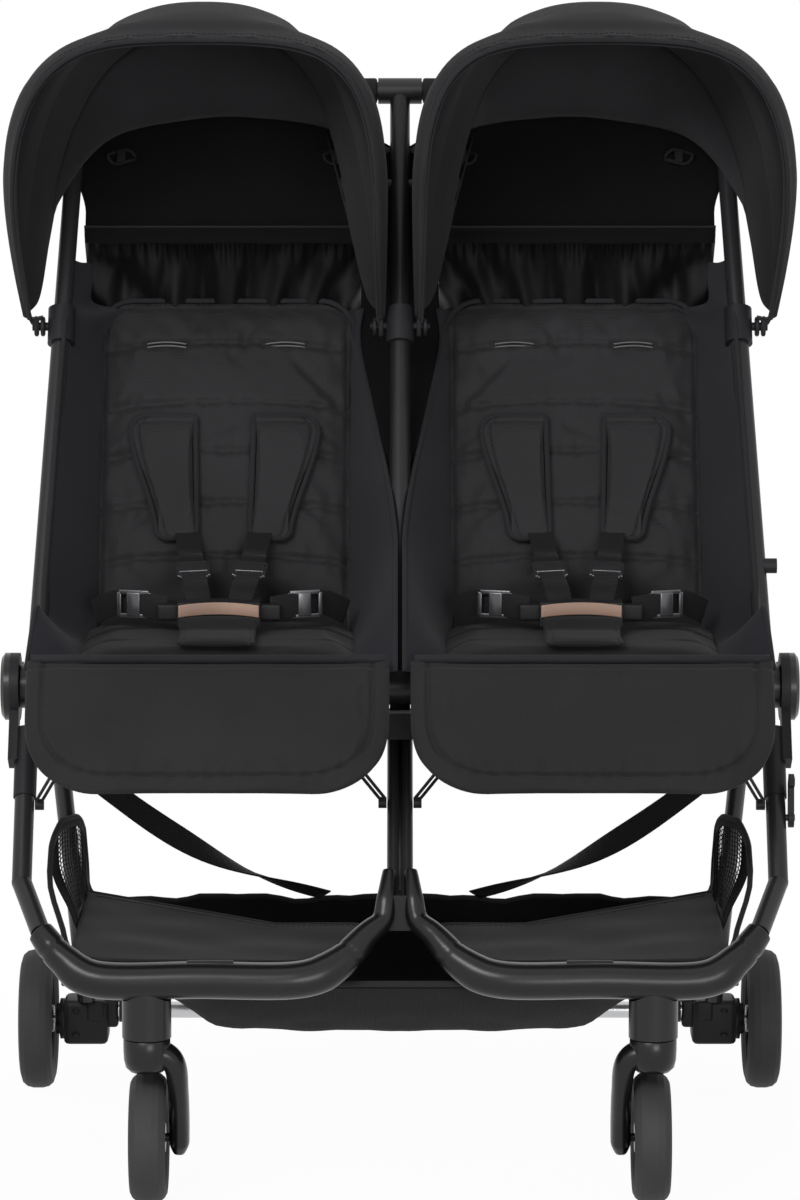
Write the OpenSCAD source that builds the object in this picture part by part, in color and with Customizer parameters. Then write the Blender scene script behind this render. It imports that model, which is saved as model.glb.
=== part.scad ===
/* [Wheels] */
// Distance between the front and rear axles
wheelbase = 450; // [430:1:480]
// Radius of the front wheels
front_wheel_r = 59; // [55:1:62]
// Radius of the rear wheels
rear_wheel_r = 68; // [64:1:72]
// Width of every tyre
wheel_w = 33; // [29:1:35]
// Middle of each front wheel from the centre line
front_wheel_x = 226; // [216:1:232]
// Middle of each rear wheel from the centre line
rear_wheel_x = 356; // [354:1:362]
// How far the front axle trails behind its swivel
caster_trail = 28; // [22:1:32]

/* [Frame] */
// Height of the fold hinges
hub_z = 445; // [440:1:450]
// Fold hinges behind the front axle
hub_back = 160; // [154:1:166]
// Radius of the round fold hinge covers
hub_r = 31; // [28:0.5:33]
// Height of the push bar
handle_z = 978; // [965:1:1000]
// Lean of the handle tubes from upright, in degrees
handle_lean = 30; // [29:0.5:31]
// Radius of the outer handle tubes
tube_r = 8.5; // [7.5:0.1:8.5]
// Radius of the middle handle tube
center_tube_r = 9.5; // [8.5:0.1:9.8]
// Radius of the front leg tubes
leg_r = 9; // [8:0.1:10]
// Radius of the bare push bar
bar_r = 9; // [8:0.1:10]
// Radius of the foam grips
grip_r = 12.5; // [12:0.1:14]
// Radius of the fold hinge pins
pin_r = 5; // [4:0.1:6]

/* [Seats] */
// Middle of each seat from the centre line
seat_x = 167; // [165:0.5:169]
// Half the width of the seat cushion
seat_half = 134; // [126:1:134]
// Height of the seat cushion top
seat_z = 492; // [490:0.5:496]
// Half the width of the backrest
back_half = 126; // [118:1:128]
// Length of the backrest
back_len = 328; // [310:1:332]
// Slope of the backrest from level, in degrees
back_slope = 63; // [61:0.5:65]
// Length of the calf rest
calf_len = 139; // [134:1:144]

/* [Canopies] */
// Radius of the rear canopy panel
canopy_r = 298; // [290:1:302]
// Half the width of the canopy
canopy_half = 173; // [168:1:174]
// Thickness of the canopy cloth
cloth_t = 2.5; // [2:0.1:2.8]

/* [Hidden] */
$fn = 64;
run = 0.05;
gap = 0.5;
front_y = -(wheelbase + rear_wheel_r - front_wheel_r) / 2;
rear_y = front_y + wheelbase;
stem_y = front_y - caster_trail;
hub_y = front_y + hub_back;
bar_y = hub_y + (handle_z - hub_z) * tan(handle_lean);
handle_len = (handle_z - hub_z) / cos(handle_lean);
handle_dir = 90 - handle_lean;
tube_x_hub = 337;
tube_x_bar = 309;
// Bands across the fold hinge: cover, plate, handle knuckle, rear knuckle
cap_x = 366;
plate_x = 358;
knuckle_x = 349;
rear_knuckle_x = 329;
rear_knuckle_end = 318;
knuckle_r = 20;
// Front leg
leg_x = 342;
bend_back = 50;
bend_z = 283;
bend = [leg_x, front_y + bend_back, bend_z];
leg_dir = atan2(bend_z - hub_z, bend[1] - hub_y) + 360;
sleeve_from = 44;
sleeve_to = 112;
sleeve_r = leg_r + 1.5;
// Footrest bar, from the outer seam to the middle
bar_z = 211;
foot_r = 19;
foot_path = [
    [321, stem_y + 18, 249], [300, stem_y + 1, 228],
    [268, stem_y - 6, bar_z], [92, stem_y - 6, bar_z],
    [55, stem_y + 3, 224], [30, stem_y + 18, 247], [8, stem_y + 34, 264]];
foot_radii = [leg_r + 0.5, 13, foot_r, foot_r, 15, 11, 8.5];
// Middle of the frame
cheek_in = 10.5;
cheek_out = 16;
link_half = 14;
link_y = stem_y + 45;
link_z = 248;
link_h = 32;
saddle_z = 398;
saddle_h = 24;
center_leg_x = 6.2;
center_leg_r = 5.5;
// Seat support tube
cross_back = 45;
cross_rise = 4;
cross_r = 8;
// Casters
stem_r = 6;
housing_r = 22;
housing_z = front_wheel_r + 99;
axle_r = 4;
// Rear frame
rear_leg_r = 8.5;
bracket_in = 277;
bracket_out = rear_wheel_x - wheel_w / 2 - 1;
bracket_z = 42;
bracket_top = 91;
rear_axle_r = 5;
cross_tube_y = rear_y - 6;
cross_tube_z = 78;
// Seat
crease = [66 + hub_y + 69.5, hub_z + 41];
seat_t = 34;
seat_front = hub_y - 93.3;
hinge_r = 5;
calf_dir = 232.6;
calf_x = 173;
calf_half = 165;
calf_t = 20;
calf_top = [hub_y - 96.5, hub_z + 39];
// Canopy
canopy_x = 181;
canopy_d = 365;
canopy_y = hub_y + canopy_d * cos(handle_dir);
canopy_z = hub_z + canopy_d * sin(handle_dir);
canopy_pin_r = 4;
layer = cloth_t + 2.5;
hood_taper = 9;
mid_half = canopy_half - hood_taper;
rear_half = mid_half - hood_taper;
clamp_x = tube_x_hub - (tube_x_hub - tube_x_bar) * canopy_d / handle_len;
// Clips that tie the rear canopy panel to the handle tubes
clip_d = 150;
clip_r = 5;
clip_in = shell_reach(canopy_r - cloth_t, rear_half - cloth_t, clip_d + clip_r) - 0.9;
clip_out = shell_reach(canopy_r, rear_half, clip_d - clip_r) + 0.35;
function shell_reach(r, a, d) = a * pow(1 - pow(d / r, 4), 0.25);

// Shared shapes
module rod(p, q, r, r2 = 0) {
    v = q - p;
    len = norm(v);
    translate(p)
        rotate([0, acos(v[2] / len), atan2(v[1], v[0])])
            cylinder(h = len, r1 = r, r2 = r2 == 0 ? r : r2);
}

module disc(x0, x1, y, z, r) {
    translate([x0, y, z])
        rotate([0, 90, 0])
            cylinder(h = x1 - x0, r = r);
}

module block(x0, x1, y0, y1, z0, z1) {
    translate([x0, y0, z0])
        cube([x1 - x0, y1 - y0, z1 - z0]);
}

module slab(x0, x1, points) {
    translate([x0, 0, 0])
        rotate([90, 0, 90])
            linear_extrude(x1 - x0)
                polygon(points);
}

module about(y, z, angle) {
    translate([0, y, z])
        rotate([angle, 0, 0])
            children();
}

module left() {
    mirror([1, 0, 0])
        children();
}

module both() {
    children();
    left()
        children();
}

function soft_box(a, b, n) = [for (i = [0 : n - 1])
    let (t = 360 * i / n, c = cos(t), s = sin(t))
    [a * sign(c) * pow(abs(c), 0.35), b * sign(s) * pow(abs(s), 0.6)]];

// Cushion with a crown and drawn-in sides, centred across and starting at y = 0
module cushion(half, length, thick) {
    intersection() {
        translate([0, length, 0])
            rotate([90, 0, 0])
                linear_extrude(length)
                    polygon(soft_box(half, thick / 2, 28));
        translate([-half, length / 2, 0])
            rotate([90, 0, 90])
                linear_extrude(2 * half)
                    polygon(soft_box(length / 2, thick / 2, 28));
    }
}

module round_plate(half, length, corner, thick) {
    translate([0, 0, -thick / 2])
        linear_extrude(thick) {
            translate([-half, 0])
                square([2 * half, length - corner]);
            translate([corner - half, 0])
                square([2 * (half - corner), length]);
            for (side = [-1, 1])
                translate([side * (half - corner), length - corner])
                    circle(corner);
        }
}

// Fold hinges and the fixed front frame
module hub_pin_hole(r = pin_r + run) {
    disc(-400, 400, hub_y, hub_z, r);
}

module hub_side() {
    difference() {
        union() {
            disc(knuckle_x + gap, plate_x, hub_y, hub_z, hub_r);
            about(hub_y, hub_z, leg_dir) {
                block(knuckle_x + gap, plate_x, 0, sleeve_from + 34, -sleeve_r, sleeve_r);
                block(leg_x, plate_x, sleeve_from + 2, sleeve_from + 34, 2 - sleeve_r, sleeve_r - 2);
                rod([leg_x, sleeve_from, 0], [leg_x, sleeve_to, 0], sleeve_r);
            }
            disc(knuckle_x + gap, plate_x, hub_y + cross_back, hub_z + cross_rise, cross_r + 4);
            block(knuckle_x + gap, plate_x, hub_y, hub_y + cross_back, hub_z - 8, hub_z + 16);
        }
        hub_pin_hole();
    }
}

module hub_middle() {
    difference() {
        union() {
            both() {
                disc(cheek_in, cheek_out, hub_y, hub_z, knuckle_r + 2);
                block(cheek_in, cheek_out, hub_y - 16, hub_y + 16, saddle_z, hub_z);
                block(cheek_in, cheek_out, hub_y, hub_y + cross_back, hub_z - 8, hub_z + 16);
                disc(cheek_in, cheek_out, hub_y + cross_back, hub_z + cross_rise, cross_r + 4);
            }
            block(-cheek_out, cheek_out, hub_y - 16, hub_y + 16, saddle_z, saddle_z + saddle_h);
        }
        hub_pin_hole();
    }
}

module hubs() {
    color("#1b1b1d") {
        both()
            hub_side();
        hub_middle();
    }
}

module hub_caps() {
    color("#222225")
        both() {
            disc(plate_x, cap_x - 3, hub_y, hub_z, hub_r);
            rod([cap_x - 3, hub_y, hub_z], [cap_x, hub_y, hub_z], hub_r, hub_r - 4);
        }
}

module hub_pins() {
    color("#8f9194") {
        both()
            disc(rear_knuckle_end - 1, plate_x, hub_y, hub_z, pin_r);
        disc(-cheek_out, cheek_out, hub_y, hub_z, pin_r);
    }
}

module front_leg() {
    start = [leg_x, hub_y + sleeve_to * cos(leg_dir), hub_z + sleeve_to * sin(leg_dir)];
    rod(start, bend, leg_r);
    translate(bend)
        sphere(leg_r + 0.2);
    rod(bend, foot_path[0], leg_r);
}

hook_d = 132;
hook_y = hub_y + hook_d * cos(leg_dir);
hook_z = hub_z + hook_d * sin(leg_dir);
hook_x = 353;
hook_pin_r = 3;

module front_legs() {
    color("#18181a") {
        union() {
            front_leg();
            disc(leg_x, hook_x + 6, hook_y, hook_z, hook_pin_r);
        }
        left()
            front_leg();
    }
}

module center_legs() {
    color("#18181a")
        both()
            intersection() {
                rod([center_leg_x, link_y - 20, link_z + 12],
                    [center_leg_x, hub_y + 20, saddle_z + 18], center_leg_r);
                block(-40, 40, link_y - 60, hub_y + 60, link_z + link_h, saddle_z);
            }
}

module foot_bar() {
    for (i = [0 : len(foot_path) - 2])
        hull()
            for (k = [i, i + 1])
                translate(foot_path[k])
                    sphere(foot_radii[k], $fn = 20);
}

module footrest() {
    difference() {
        foot_bar();
        block(foot_path[3][0] - 20, foot_path[2][0] + 20, stem_y - 60, stem_y + 60,
            bar_z + 15, bar_z + 60);
        block(-40, link_half, link_y - 60, link_y + 60, link_z - 40, link_z + 80);
        block(foot_path[3][0] + 68, foot_path[3][0] + 108, stem_y - 9, stem_y - 3,
            bar_z + 12, bar_z + 20);
        rod(foot_path[0], bend, 15);
    }
}

module footrests() {
    color("#1f1f22")
        both()
            footrest();
}

module center_connector() {
    color("#1b1b1d")
        block(-link_half, link_half, link_y - 14, link_y + 14, link_z, link_z + link_h);
}

module caster_housings() {
    color("#1b1b1d")
        both()
            difference() {
                translate([front_wheel_x, stem_y, housing_z])
                    cylinder(h = bar_z - housing_z - 6, r = housing_r);
                rod(foot_path[2], foot_path[3], foot_r);
                translate([front_wheel_x, stem_y, housing_z - 1])
                    cylinder(h = 30, r = stem_r + run);
            }
}

rail_r = 3.5;
rail_x = seat_half + rail_r + 0.5;

module seat_rail(x) {
    difference() {
        union() {
            rod([x, hub_y + cross_back, hub_z + cross_rise], [x, crease[0], crease[1]], rail_r);
            disc(x - rail_r, x + rail_r, crease[0], crease[1], hinge_r + 4);
        }
        disc(x - 20, x + 20, crease[0], crease[1], hinge_r + run);
    }
}

module cross_tubes() {
    color("#18181a")
        both() {
            disc(cheek_out, knuckle_x + gap, hub_y + cross_back, hub_z + cross_rise, cross_r);
            seat_rail(seat_x - rail_x);
            seat_rail(seat_x + rail_x);
        }
}

// Seats
seat_len = crease[0] - 13 - seat_front;

module seat_base() {
    difference() {
        translate([seat_x, seat_front, seat_z - seat_t / 2])
            cushion(seat_half, seat_len, seat_t);
        for (row = [0.33, 0.66])
            rod([seat_x - seat_half - 5, seat_front + seat_len * row, seat_z + 3],
                [seat_x + seat_half + 5, seat_front + seat_len * row, seat_z + 3], 5);
    }
}

module seat_bases() {
    color("#26262a")
        both()
            seat_base();
}

module leg_rest() {
    about(calf_top[0], calf_top[1], calf_dir)
        translate([calf_x, 0, 0])
            difference() {
                intersection() {
                    round_plate(calf_half, calf_len, 80, calf_t);
                    cushion(calf_half + 6, calf_len, calf_t);
                }
                rod([-calf_half - 10, calf_len - 24, -calf_t / 2 - 1],
                    [calf_half + 10, calf_len - 24, -calf_t / 2 - 1], 3);
            }
}

module leg_rest_right() {
    color("#2a2a2e")
        leg_rest();
}

module leg_rest_left() {
    color("#2a2a2e")
        left()
            leg_rest();
}

cord_r = 1.5;
cord_from = 107;
cord_lift = 0.45 * calf_t + cord_r + 0.3;
cord_y = calf_top[0] + cord_from * cos(calf_dir) - cord_lift * sin(calf_dir);
cord_z = calf_top[1] + cord_from * sin(calf_dir) + cord_lift * cos(calf_dir);
knob_r = 5;
knob_in = [center_leg_x + center_leg_r + 4, link_y + 78, 348];
knob_out = [leg_x - leg_r - 4.5, bend[1] + 46, 346];

module leg_rest_cords() {
    color("#101012")
        both() {
            rod([knob_in[0] + 20, cord_y, cord_z], knob_in + [0, -4.1, 4.1], cord_r);
            rod([knob_out[0] - 22, cord_y, cord_z], knob_out + [0, -4.1, 4.1], cord_r);
        }
}

module cord_knobs() {
    color("#1b1b1d")
        both() {
            disc(knob_in[0] - 3.5, knob_in[0] + 4, knob_in[1], knob_in[2], knob_r);
            disc(knob_out[0] - 4, knob_out[0] + 4, knob_out[1], knob_out[2], knob_r);
        }
}

crotch_half = 37;
buckle_half = 38;
buckle_y = hub_y + 9;
buckle_d = 30;
buckle_lift = 7.3;
buckle_z = seat_z + buckle_lift;
buckle_h = 22;
button_half = 9;
button_h = 6;
button_up = 2;
button_travel = 3;

module crotch_straps() {
    color("#202024")
        both()
            translate([seat_x, seat_front + 12, seat_z + 4.3])
                cushion(crotch_half, buckle_y - 7 - seat_front - 12, 8);
}

module buckles() {
    color("#1f1f22")
        both()
            difference() {
                block(seat_x - buckle_half, seat_x + buckle_half, buckle_y, buckle_y + buckle_d,
                    buckle_z, buckle_z + buckle_h);
                block(seat_x - button_half - gap, seat_x + button_half + gap, buckle_y - 1,
                    buckle_y + 12 + button_travel, buckle_z + button_up - gap,
                    buckle_z + button_up + button_h + gap);
            }
}

module buckle_button() {
    block(seat_x - button_half, seat_x + button_half, buckle_y - 4, buckle_y + 10,
        buckle_z + button_up, buckle_z + button_up + button_h);
}

module buckle_button_right() {
    color("#2b2b2f")
        buckle_button();
}

module buckle_button_left() {
    color("#2b2b2f")
        left()
            buckle_button();
}

module strap(p, q, width, thick, roll) {
    v = q - p;
    len = norm(v);
    translate(p)
        rotate([0, acos(v[2] / len), atan2(v[1], v[0])])
            rotate([0, 0, roll])
                translate([-width / 2, -thick / 2, 0])
                    cube([width, thick, len]);
}

strap_w = 24;

module harness_straps() {
    color("#19191b")
        both()
            for (side = [-1, 1]) {
                strap([seat_x + side * (buckle_half + 2), buckle_y + 16, buckle_z + 14],
                    [seat_x + side * 112, buckle_y + 66, buckle_z + 28], strap_w, 2, 0);
                strap([seat_x + side * 22, buckle_y + 24, buckle_z + buckle_h + 1.8],
                    [seat_x + side * 42, crease[0] + 6, crease[1] + 86], strap_w, 2, 90);
            }
}

// Basket slung between the legs: open at the top, narrow at its floor and higher at its sides
basket_half = 302;
basket_z = 131;
basket_t = 3;
basket_front = stem_y - 6 + foot_r - 0.5;
basket_front_z = 205;
basket_rear = rear_y - 100;
basket_rear_z = 212;
basket_side_z = 318;
tub_edge = [[basket_half, 400], [basket_half, 230], [296, 212], [262, 190], [206, 160],
    [178, basket_z - 1]];

function tub_side(t) = concat([for (p = tub_edge) [p[0] - t, p[1] + t]],
    [for (i = [len(tub_edge) - 1 : -1 : 0]) [t - tub_edge[i][0], tub_edge[i][1] + t]]);

module tub(t, points) {
    intersection() {
        slab(-basket_half, basket_half, points);
        translate([0, basket_rear + 50, 0])
            rotate([90, 0, 0])
                linear_extrude(basket_rear - basket_front + 100)
                    polygon(tub_side(t));
    }
}

module basket() {
    color("#232327")
        difference() {
            tub(0, [
                [basket_front, basket_front_z], [basket_front + 14, 186], [basket_front + 75, 145],
                [basket_front + 135, basket_z], [basket_rear - 36, basket_z],
                [basket_rear - 10, 147], [basket_rear, basket_rear_z], [basket_rear - 60, 290],
                [basket_rear - 170, basket_side_z], [basket_front + 90, 260]]);
            tub(basket_t, [
                [basket_front + basket_t, 400], [basket_front + basket_t, basket_front_z],
                [basket_front + 17, 187], [basket_front + 76, 148],
                [basket_front + 136, basket_z + basket_t], [basket_rear - 38, basket_z + basket_t],
                [basket_rear - 13, 148], [basket_rear - basket_t, basket_rear_z],
                [basket_rear - basket_t, 400]]);
            both()
                translate([front_wheel_x, stem_y, housing_z - 20])
                    cylinder(h = 80, r = housing_r + 0.8);
        }
}

// Cloth over the front of the basket, level with the footrest bar, with a curved rear edge
footwell_z = bar_z + 15;
footwell = [[34, link_y + 6], [74, stem_y + 24], [92, stem_y + 12], [262, stem_y + 12],
    [basket_half - 6, stem_y + 30], [basket_half - 6, hub_y + 124], [225, hub_y + 60],
    [115, hub_y - 41], [45, hub_y - 44], [34, hub_y - 50]];

module footwell_cloths() {
    color("#232327")
        both()
            translate([0, 0, footwell_z])
                linear_extrude(cloth_t)
                    polygon(footwell);
}

module basket_straps() {
    color("#19191b")
        both()
            strap([302, hub_y + 60, 362], [70, basket_rear - 14, basket_rear_z + 2], 22, 2, 90);
}

// Fold latch on the right leg
module latch_hook() {
    color("#1b1b1d")
        difference() {
            union() {
                disc(hook_x, hook_x + 5, hook_y, hook_z, 9);
                slab(hook_x, hook_x + 5, [
                    [hook_y - 8, hook_z], [hook_y + 8, hook_z], [hook_y + 10, hook_z + 30],
                    [hook_y + 2, hook_z + 40], [hook_y - 12, hook_z + 38],
                    [hook_y - 12, hook_z + 32], [hook_y - 4, hook_z + 28]]);
            }
            disc(hook_x - 1, hook_x + 20, hook_y, hook_z, hook_pin_r + run);
        }
}

knob_d = 120;

module latch_knob() {
    kx = tube_x_hub - (tube_x_hub - tube_x_bar) * knob_d / handle_len + tube_r;
    ky = hub_y + knob_d * cos(handle_dir);
    kz = hub_z + knob_d * sin(handle_dir);
    color("#1b1b1d")
        difference() {
            disc(kx - 4, kx + 10, ky, kz, 7);
            handle_line(tube_r);
        }
}

// Rear frame
module rear_leg() {
    difference() {
        union() {
            disc(rear_knuckle_end, rear_knuckle_x - gap, hub_y, hub_z, knuckle_r);
            intersection() {
                rod([rear_knuckle_x - gap - rear_leg_r, hub_y, hub_z],
                    [bracket_in + 30, rear_y - 8, bracket_top - 20], rear_leg_r);
                block(0, 400, hub_y - 40, rear_y + 40, bracket_top, hub_z + 40);
            }
        }
        hub_pin_hole();
    }
}

module rear_legs() {
    color("#18181a")
        both()
            rear_leg();
}

module rear_cross_tube() {
    color("#18181a")
        disc(-bracket_in, bracket_in, cross_tube_y, cross_tube_z, cross_r);
}

module axle_brackets() {
    color("#1b1b1d")
        both()
            difference() {
                slab(bracket_in, bracket_out, [
                    [rear_y - 24, bracket_z + 8], [rear_y - 16, bracket_z],
                    [rear_y + 14, bracket_z], [rear_y + 24, bracket_z + 10],
                    [rear_y + 20, bracket_top - 6], [rear_y + 12, bracket_top],
                    [rear_y - 24, bracket_top]]);
                disc(bracket_in + 6, bracket_out + 1, rear_y, rear_wheel_r, rear_axle_r);
            }
}

module rear_axles() {
    color("#8f9194")
        both()
            disc(bracket_in + 6, rear_wheel_x + wheel_w / 2 - 3, rear_y, rear_wheel_r, rear_axle_r);
}

// Wheels
module spun(x, y, z, points) {
    translate([x, y, z])
        rotate([0, 90, 0])
            rotate_extrude()
                polygon(points);
}

module tyre(x, y, r) {
    w = wheel_w / 2;
    i = 0.7 * r;
    spun(x, y, r, [
        [i, 4 - w], [i + 4, 1.5 - w], [i + 9, -w], [r - 5, 2 - w], [r - 1.5, 6 - w],
        [r, 12 - w], [r, w - 12], [r - 1.5, w - 6], [r - 5, w - 2], [i + 9, w],
        [i + 4, w - 1.5], [i, w - 4]]);
}

module rim(x, y, r, bore) {
    w = wheel_w / 2;
    i = 0.7 * r;
    difference() {
        spun(x, y, r, [
            [bore + run, 1.5 - w], [13, 1.5 - w], [15, -8], [i - 6, -4], [i - 4, 5 - w],
            [i, 5 - w], [i, w - 5], [i - 4, w - 5], [i - 6, 4], [15, 8], [13, w - 1.5],
            [bore + run, w - 1.5]]);
        for (k = [0 : 4])
            translate([x, y, r])
                rotate([72 * k, 0, 0])
                    translate([-20, 0, (i - 6 + 15) / 2])
                        rotate([0, 90, 0])
                            cylinder(h = 40, r = (i - 6 - 15) / 2 - 1.5);
    }
}

module rear_tyre_right() {
    color("#141415")
        tyre(rear_wheel_x, rear_y, rear_wheel_r);
}

module rear_tyre_left() {
    color("#141415")
        left()
            tyre(rear_wheel_x, rear_y, rear_wheel_r);
}

module rear_rim_right() {
    color("#1d1d20")
        rim(rear_wheel_x, rear_y, rear_wheel_r, rear_axle_r);
}

module rear_rim_left() {
    color("#1d1d20")
        left()
            rim(rear_wheel_x, rear_y, rear_wheel_r, rear_axle_r);
}

module front_tyre_right() {
    color("#141415")
        tyre(front_wheel_x, front_y, front_wheel_r);
}

module front_tyre_left() {
    color("#141415")
        left()
            tyre(front_wheel_x, front_y, front_wheel_r);
}

module front_rim_right() {
    color("#1d1d20")
        rim(front_wheel_x, front_y, front_wheel_r, axle_r);
}

module front_rim_left() {
    color("#1d1d20")
        left()
            rim(front_wheel_x, front_y, front_wheel_r, axle_r);
}

module brake_pedal() {
    difference() {
        union() {
            disc(bracket_in - 21, bracket_in - 1, cross_tube_y, cross_tube_z, cross_r + 4);
            block(bracket_in - 21, bracket_in - 1, cross_tube_y, rear_y + 34,
                cross_tube_z + 2, cross_tube_z + 10);
            block(bracket_in - 21, bracket_in + 30, rear_y + 27, rear_y + 60,
                cross_tube_z + 2, cross_tube_z + 10);
        }
        disc(bracket_in - 30, bracket_in + 10, cross_tube_y, cross_tube_z, cross_r + run);
    }
}

module brake_pedal_right() {
    color("#26262a")
        brake_pedal();
}

module brake_pedal_left() {
    color("#26262a")
        left()
            brake_pedal();
}

// Front swivel fork with one arm on the inner side of the wheel
fork_in = front_wheel_x - wheel_w / 2 - 21;
fork_out = front_wheel_x - wheel_w / 2 - 1;
crown_z = housing_z - 32;

module caster_fork() {
    translate([front_wheel_x, stem_y, crown_z])
        cylinder(h = 32 - gap, r = housing_r - 1);
    block(fork_in, front_wheel_x, stem_y - 15, stem_y + 15, crown_z + 2, crown_z + 28);
    slab(fork_in, fork_out, [
        [stem_y - 15, crown_z + 28], [stem_y + 15, crown_z + 28],
        [front_y + 15, front_wheel_r + 4], [front_y + 15, front_wheel_r - 14],
        [front_y - 15, front_wheel_r - 14], [front_y - 15, front_wheel_r + 12],
        [stem_y - 15, crown_z + 2]]);
    disc(fork_out - 4, front_wheel_x + wheel_w / 2 - 2, front_y, front_wheel_r, axle_r);
    translate([front_wheel_x, stem_y, crown_z + 20])
        cylinder(h = 34, r = stem_r);
}

module caster_fork_right() {
    color("#1b1b1d")
        caster_fork();
}

module caster_fork_left() {
    color("#1b1b1d")
        left()
            caster_fork();
}

// Handle frame
module handle_line(r) {
    rod([tube_x_hub, hub_y, hub_z], [tube_x_bar, bar_y, handle_z], r);
}

module push_bar(r) {
    disc(-tube_x_bar - 11, tube_x_bar + 11, bar_y, handle_z, r);
}

module handle_tubes() {
    color("#18181a")
        both()
            difference() {
                union() {
                    disc(rear_knuckle_x, knuckle_x - gap, hub_y, hub_z, knuckle_r);
                    handle_line(tube_r);
                }
                hub_pin_hole();
                disc(0, rear_knuckle_x, hub_y, hub_z, knuckle_r + gap);
                push_bar(bar_r);
            }
}

module handle_tube_center() {
    color("#18181a")
        difference() {
            union() {
                disc(gap - cheek_in, cheek_in - gap, hub_y, hub_z, 17);
                rod([0, hub_y, hub_z], [0, bar_y, handle_z], center_tube_r);
                disc(-21, 21, bar_y, handle_z, grip_r);
            }
            hub_pin_hole();
            push_bar(bar_r);
        }
}

module handlebar() {
    color("#18181a")
        push_bar(bar_r);
}

module handle_grips() {
    color("#131314")
        both()
            difference() {
                disc(22, tube_x_bar - tube_r - 3, bar_y, handle_z, grip_r);
                push_bar(bar_r);
            }
}

module canopy_clamps() {
    color("#1b1b1d") {
        both() {
            difference() {
                union() {
                    about(hub_y, hub_z, handle_dir)
                        rod([clamp_x, canopy_d - 18, 0], [clamp_x, canopy_d + 18, 0], tube_r + 4.5);
                    disc(clamp_x, canopy_x + 167, canopy_y, canopy_z, canopy_pin_r);
                }
                handle_line(tube_r);
            }
            difference() {
                about(hub_y, hub_z, handle_dir)
                    disc(clamp_x - 5, canopy_x + clip_in, canopy_d + clip_d, 0, clip_r);
                handle_line(tube_r);
            }
            difference() {
                about(hub_y, hub_z, handle_dir)
                    disc(2, canopy_x - clip_out, canopy_d + clip_d, 0, clip_r);
                rod([0, hub_y, hub_z], [0, bar_y, handle_z], center_tube_r);
            }
        }
        difference() {
            union() {
                about(hub_y, hub_z, handle_dir)
                    rod([0, canopy_d - 18, 0], [0, canopy_d + 18, 0], center_tube_r + 4);
                disc(153 - canopy_x, canopy_x - 153, canopy_y, canopy_z, canopy_pin_r);
            }
            rod([0, hub_y, hub_z], [0, bar_y, handle_z], center_tube_r);
        }
    }
}

// Canopies: nested shells turned about the hoop pins
shell_steps = 20;
shell_foot = 42;

function shell_curve(r, a) = [for (i = [0 : shell_steps])
    let (f0 = atan(shell_foot / r), f = f0 + (180 - 2 * f0) * i / shell_steps,
        k = 1 / pow(pow(abs(cos(f)), 4) + pow(abs(sin(f)), 4), 0.25),
        pr = r * k * sin(f), px = a * k * cos(f))
    [pr, px * (1 - 0.035 * max(0, 1 - pr / 120))]];

function shell_section(r, a) = concat(shell_curve(r, a),
    [for (i = [shell_steps : -1 : 0]) shell_curve(r - cloth_t, a - cloth_t)[i]]);

module sweep(from, to, points) {
    translate([canopy_x, canopy_y, canopy_z])
        rotate([from, 0, 0])
            rotate([0, 90, 0])
                rotate([0, 0, 90])
                    rotate_extrude(angle = to - from)
                        polygon(points);
}

module hoop(from, to, r, a, boss) {
    sweep(from, to, shell_section(r, a));
    for (side = [-1, 1]) {
        sweep(to - 16, to, [
            [canopy_pin_r + 3, side * boss], [canopy_pin_r + 3, side * (boss + 4)],
            [shell_foot - 4, side * (a * 0.977)], [shell_foot + 10, side * (a * 0.98)],
            [shell_foot + 10, side * (a * 0.98 - cloth_t)],
            [shell_foot - 4, side * (a * 0.977 - cloth_t)]]);
        translate([canopy_x, canopy_y, canopy_z])
            rotate([0, 90, 0])
                translate([0, 0, side * (boss + 2) - 2])
                    difference() {
                        cylinder(h = 4, r = canopy_pin_r + 5);
                        translate([0, 0, -1])
                            cylinder(h = 6, r = canopy_pin_r + run);
                    }
    }
}

rear_from = 66;
rear_to = 90;
mid_to = 108;
front_to = 124;
hoop_deg = 3;
mid_r = canopy_r + layer;
front_r = canopy_r + 2 * layer;
skirt_from = 58.3;
skirt_top = 220;

module canopy_rear_right() {
    color("#202024") {
        sweep(rear_from, rear_to, shell_section(canopy_r, rear_half));
        intersection() {
            sweep(skirt_from, rear_from + 1, shell_section(canopy_r, rear_half));
            disc(0, 400, canopy_y, canopy_z, skirt_top);
        }
    }
}

module canopy_rear_left() {
    left()
        canopy_rear_right();
}

module canopy_mid_right() {
    color("#202024") {
        sweep(rear_to - 2, mid_to - hoop_deg - 0.2, shell_section(mid_r, mid_half));
        hoop(mid_to - hoop_deg, mid_to, mid_r, mid_half, 155);
    }
}

module canopy_mid_left() {
    left()
        canopy_mid_right();
}

module canopy_front_right() {
    color("#202024") {
        sweep(mid_to - 2, front_to - hoop_deg - 0.2, shell_section(front_r, canopy_half));
        hoop(front_to - hoop_deg, front_to, front_r, canopy_half, 161);
    }
}

module canopy_front_left() {
    left()
        canopy_front_right();
}

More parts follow.
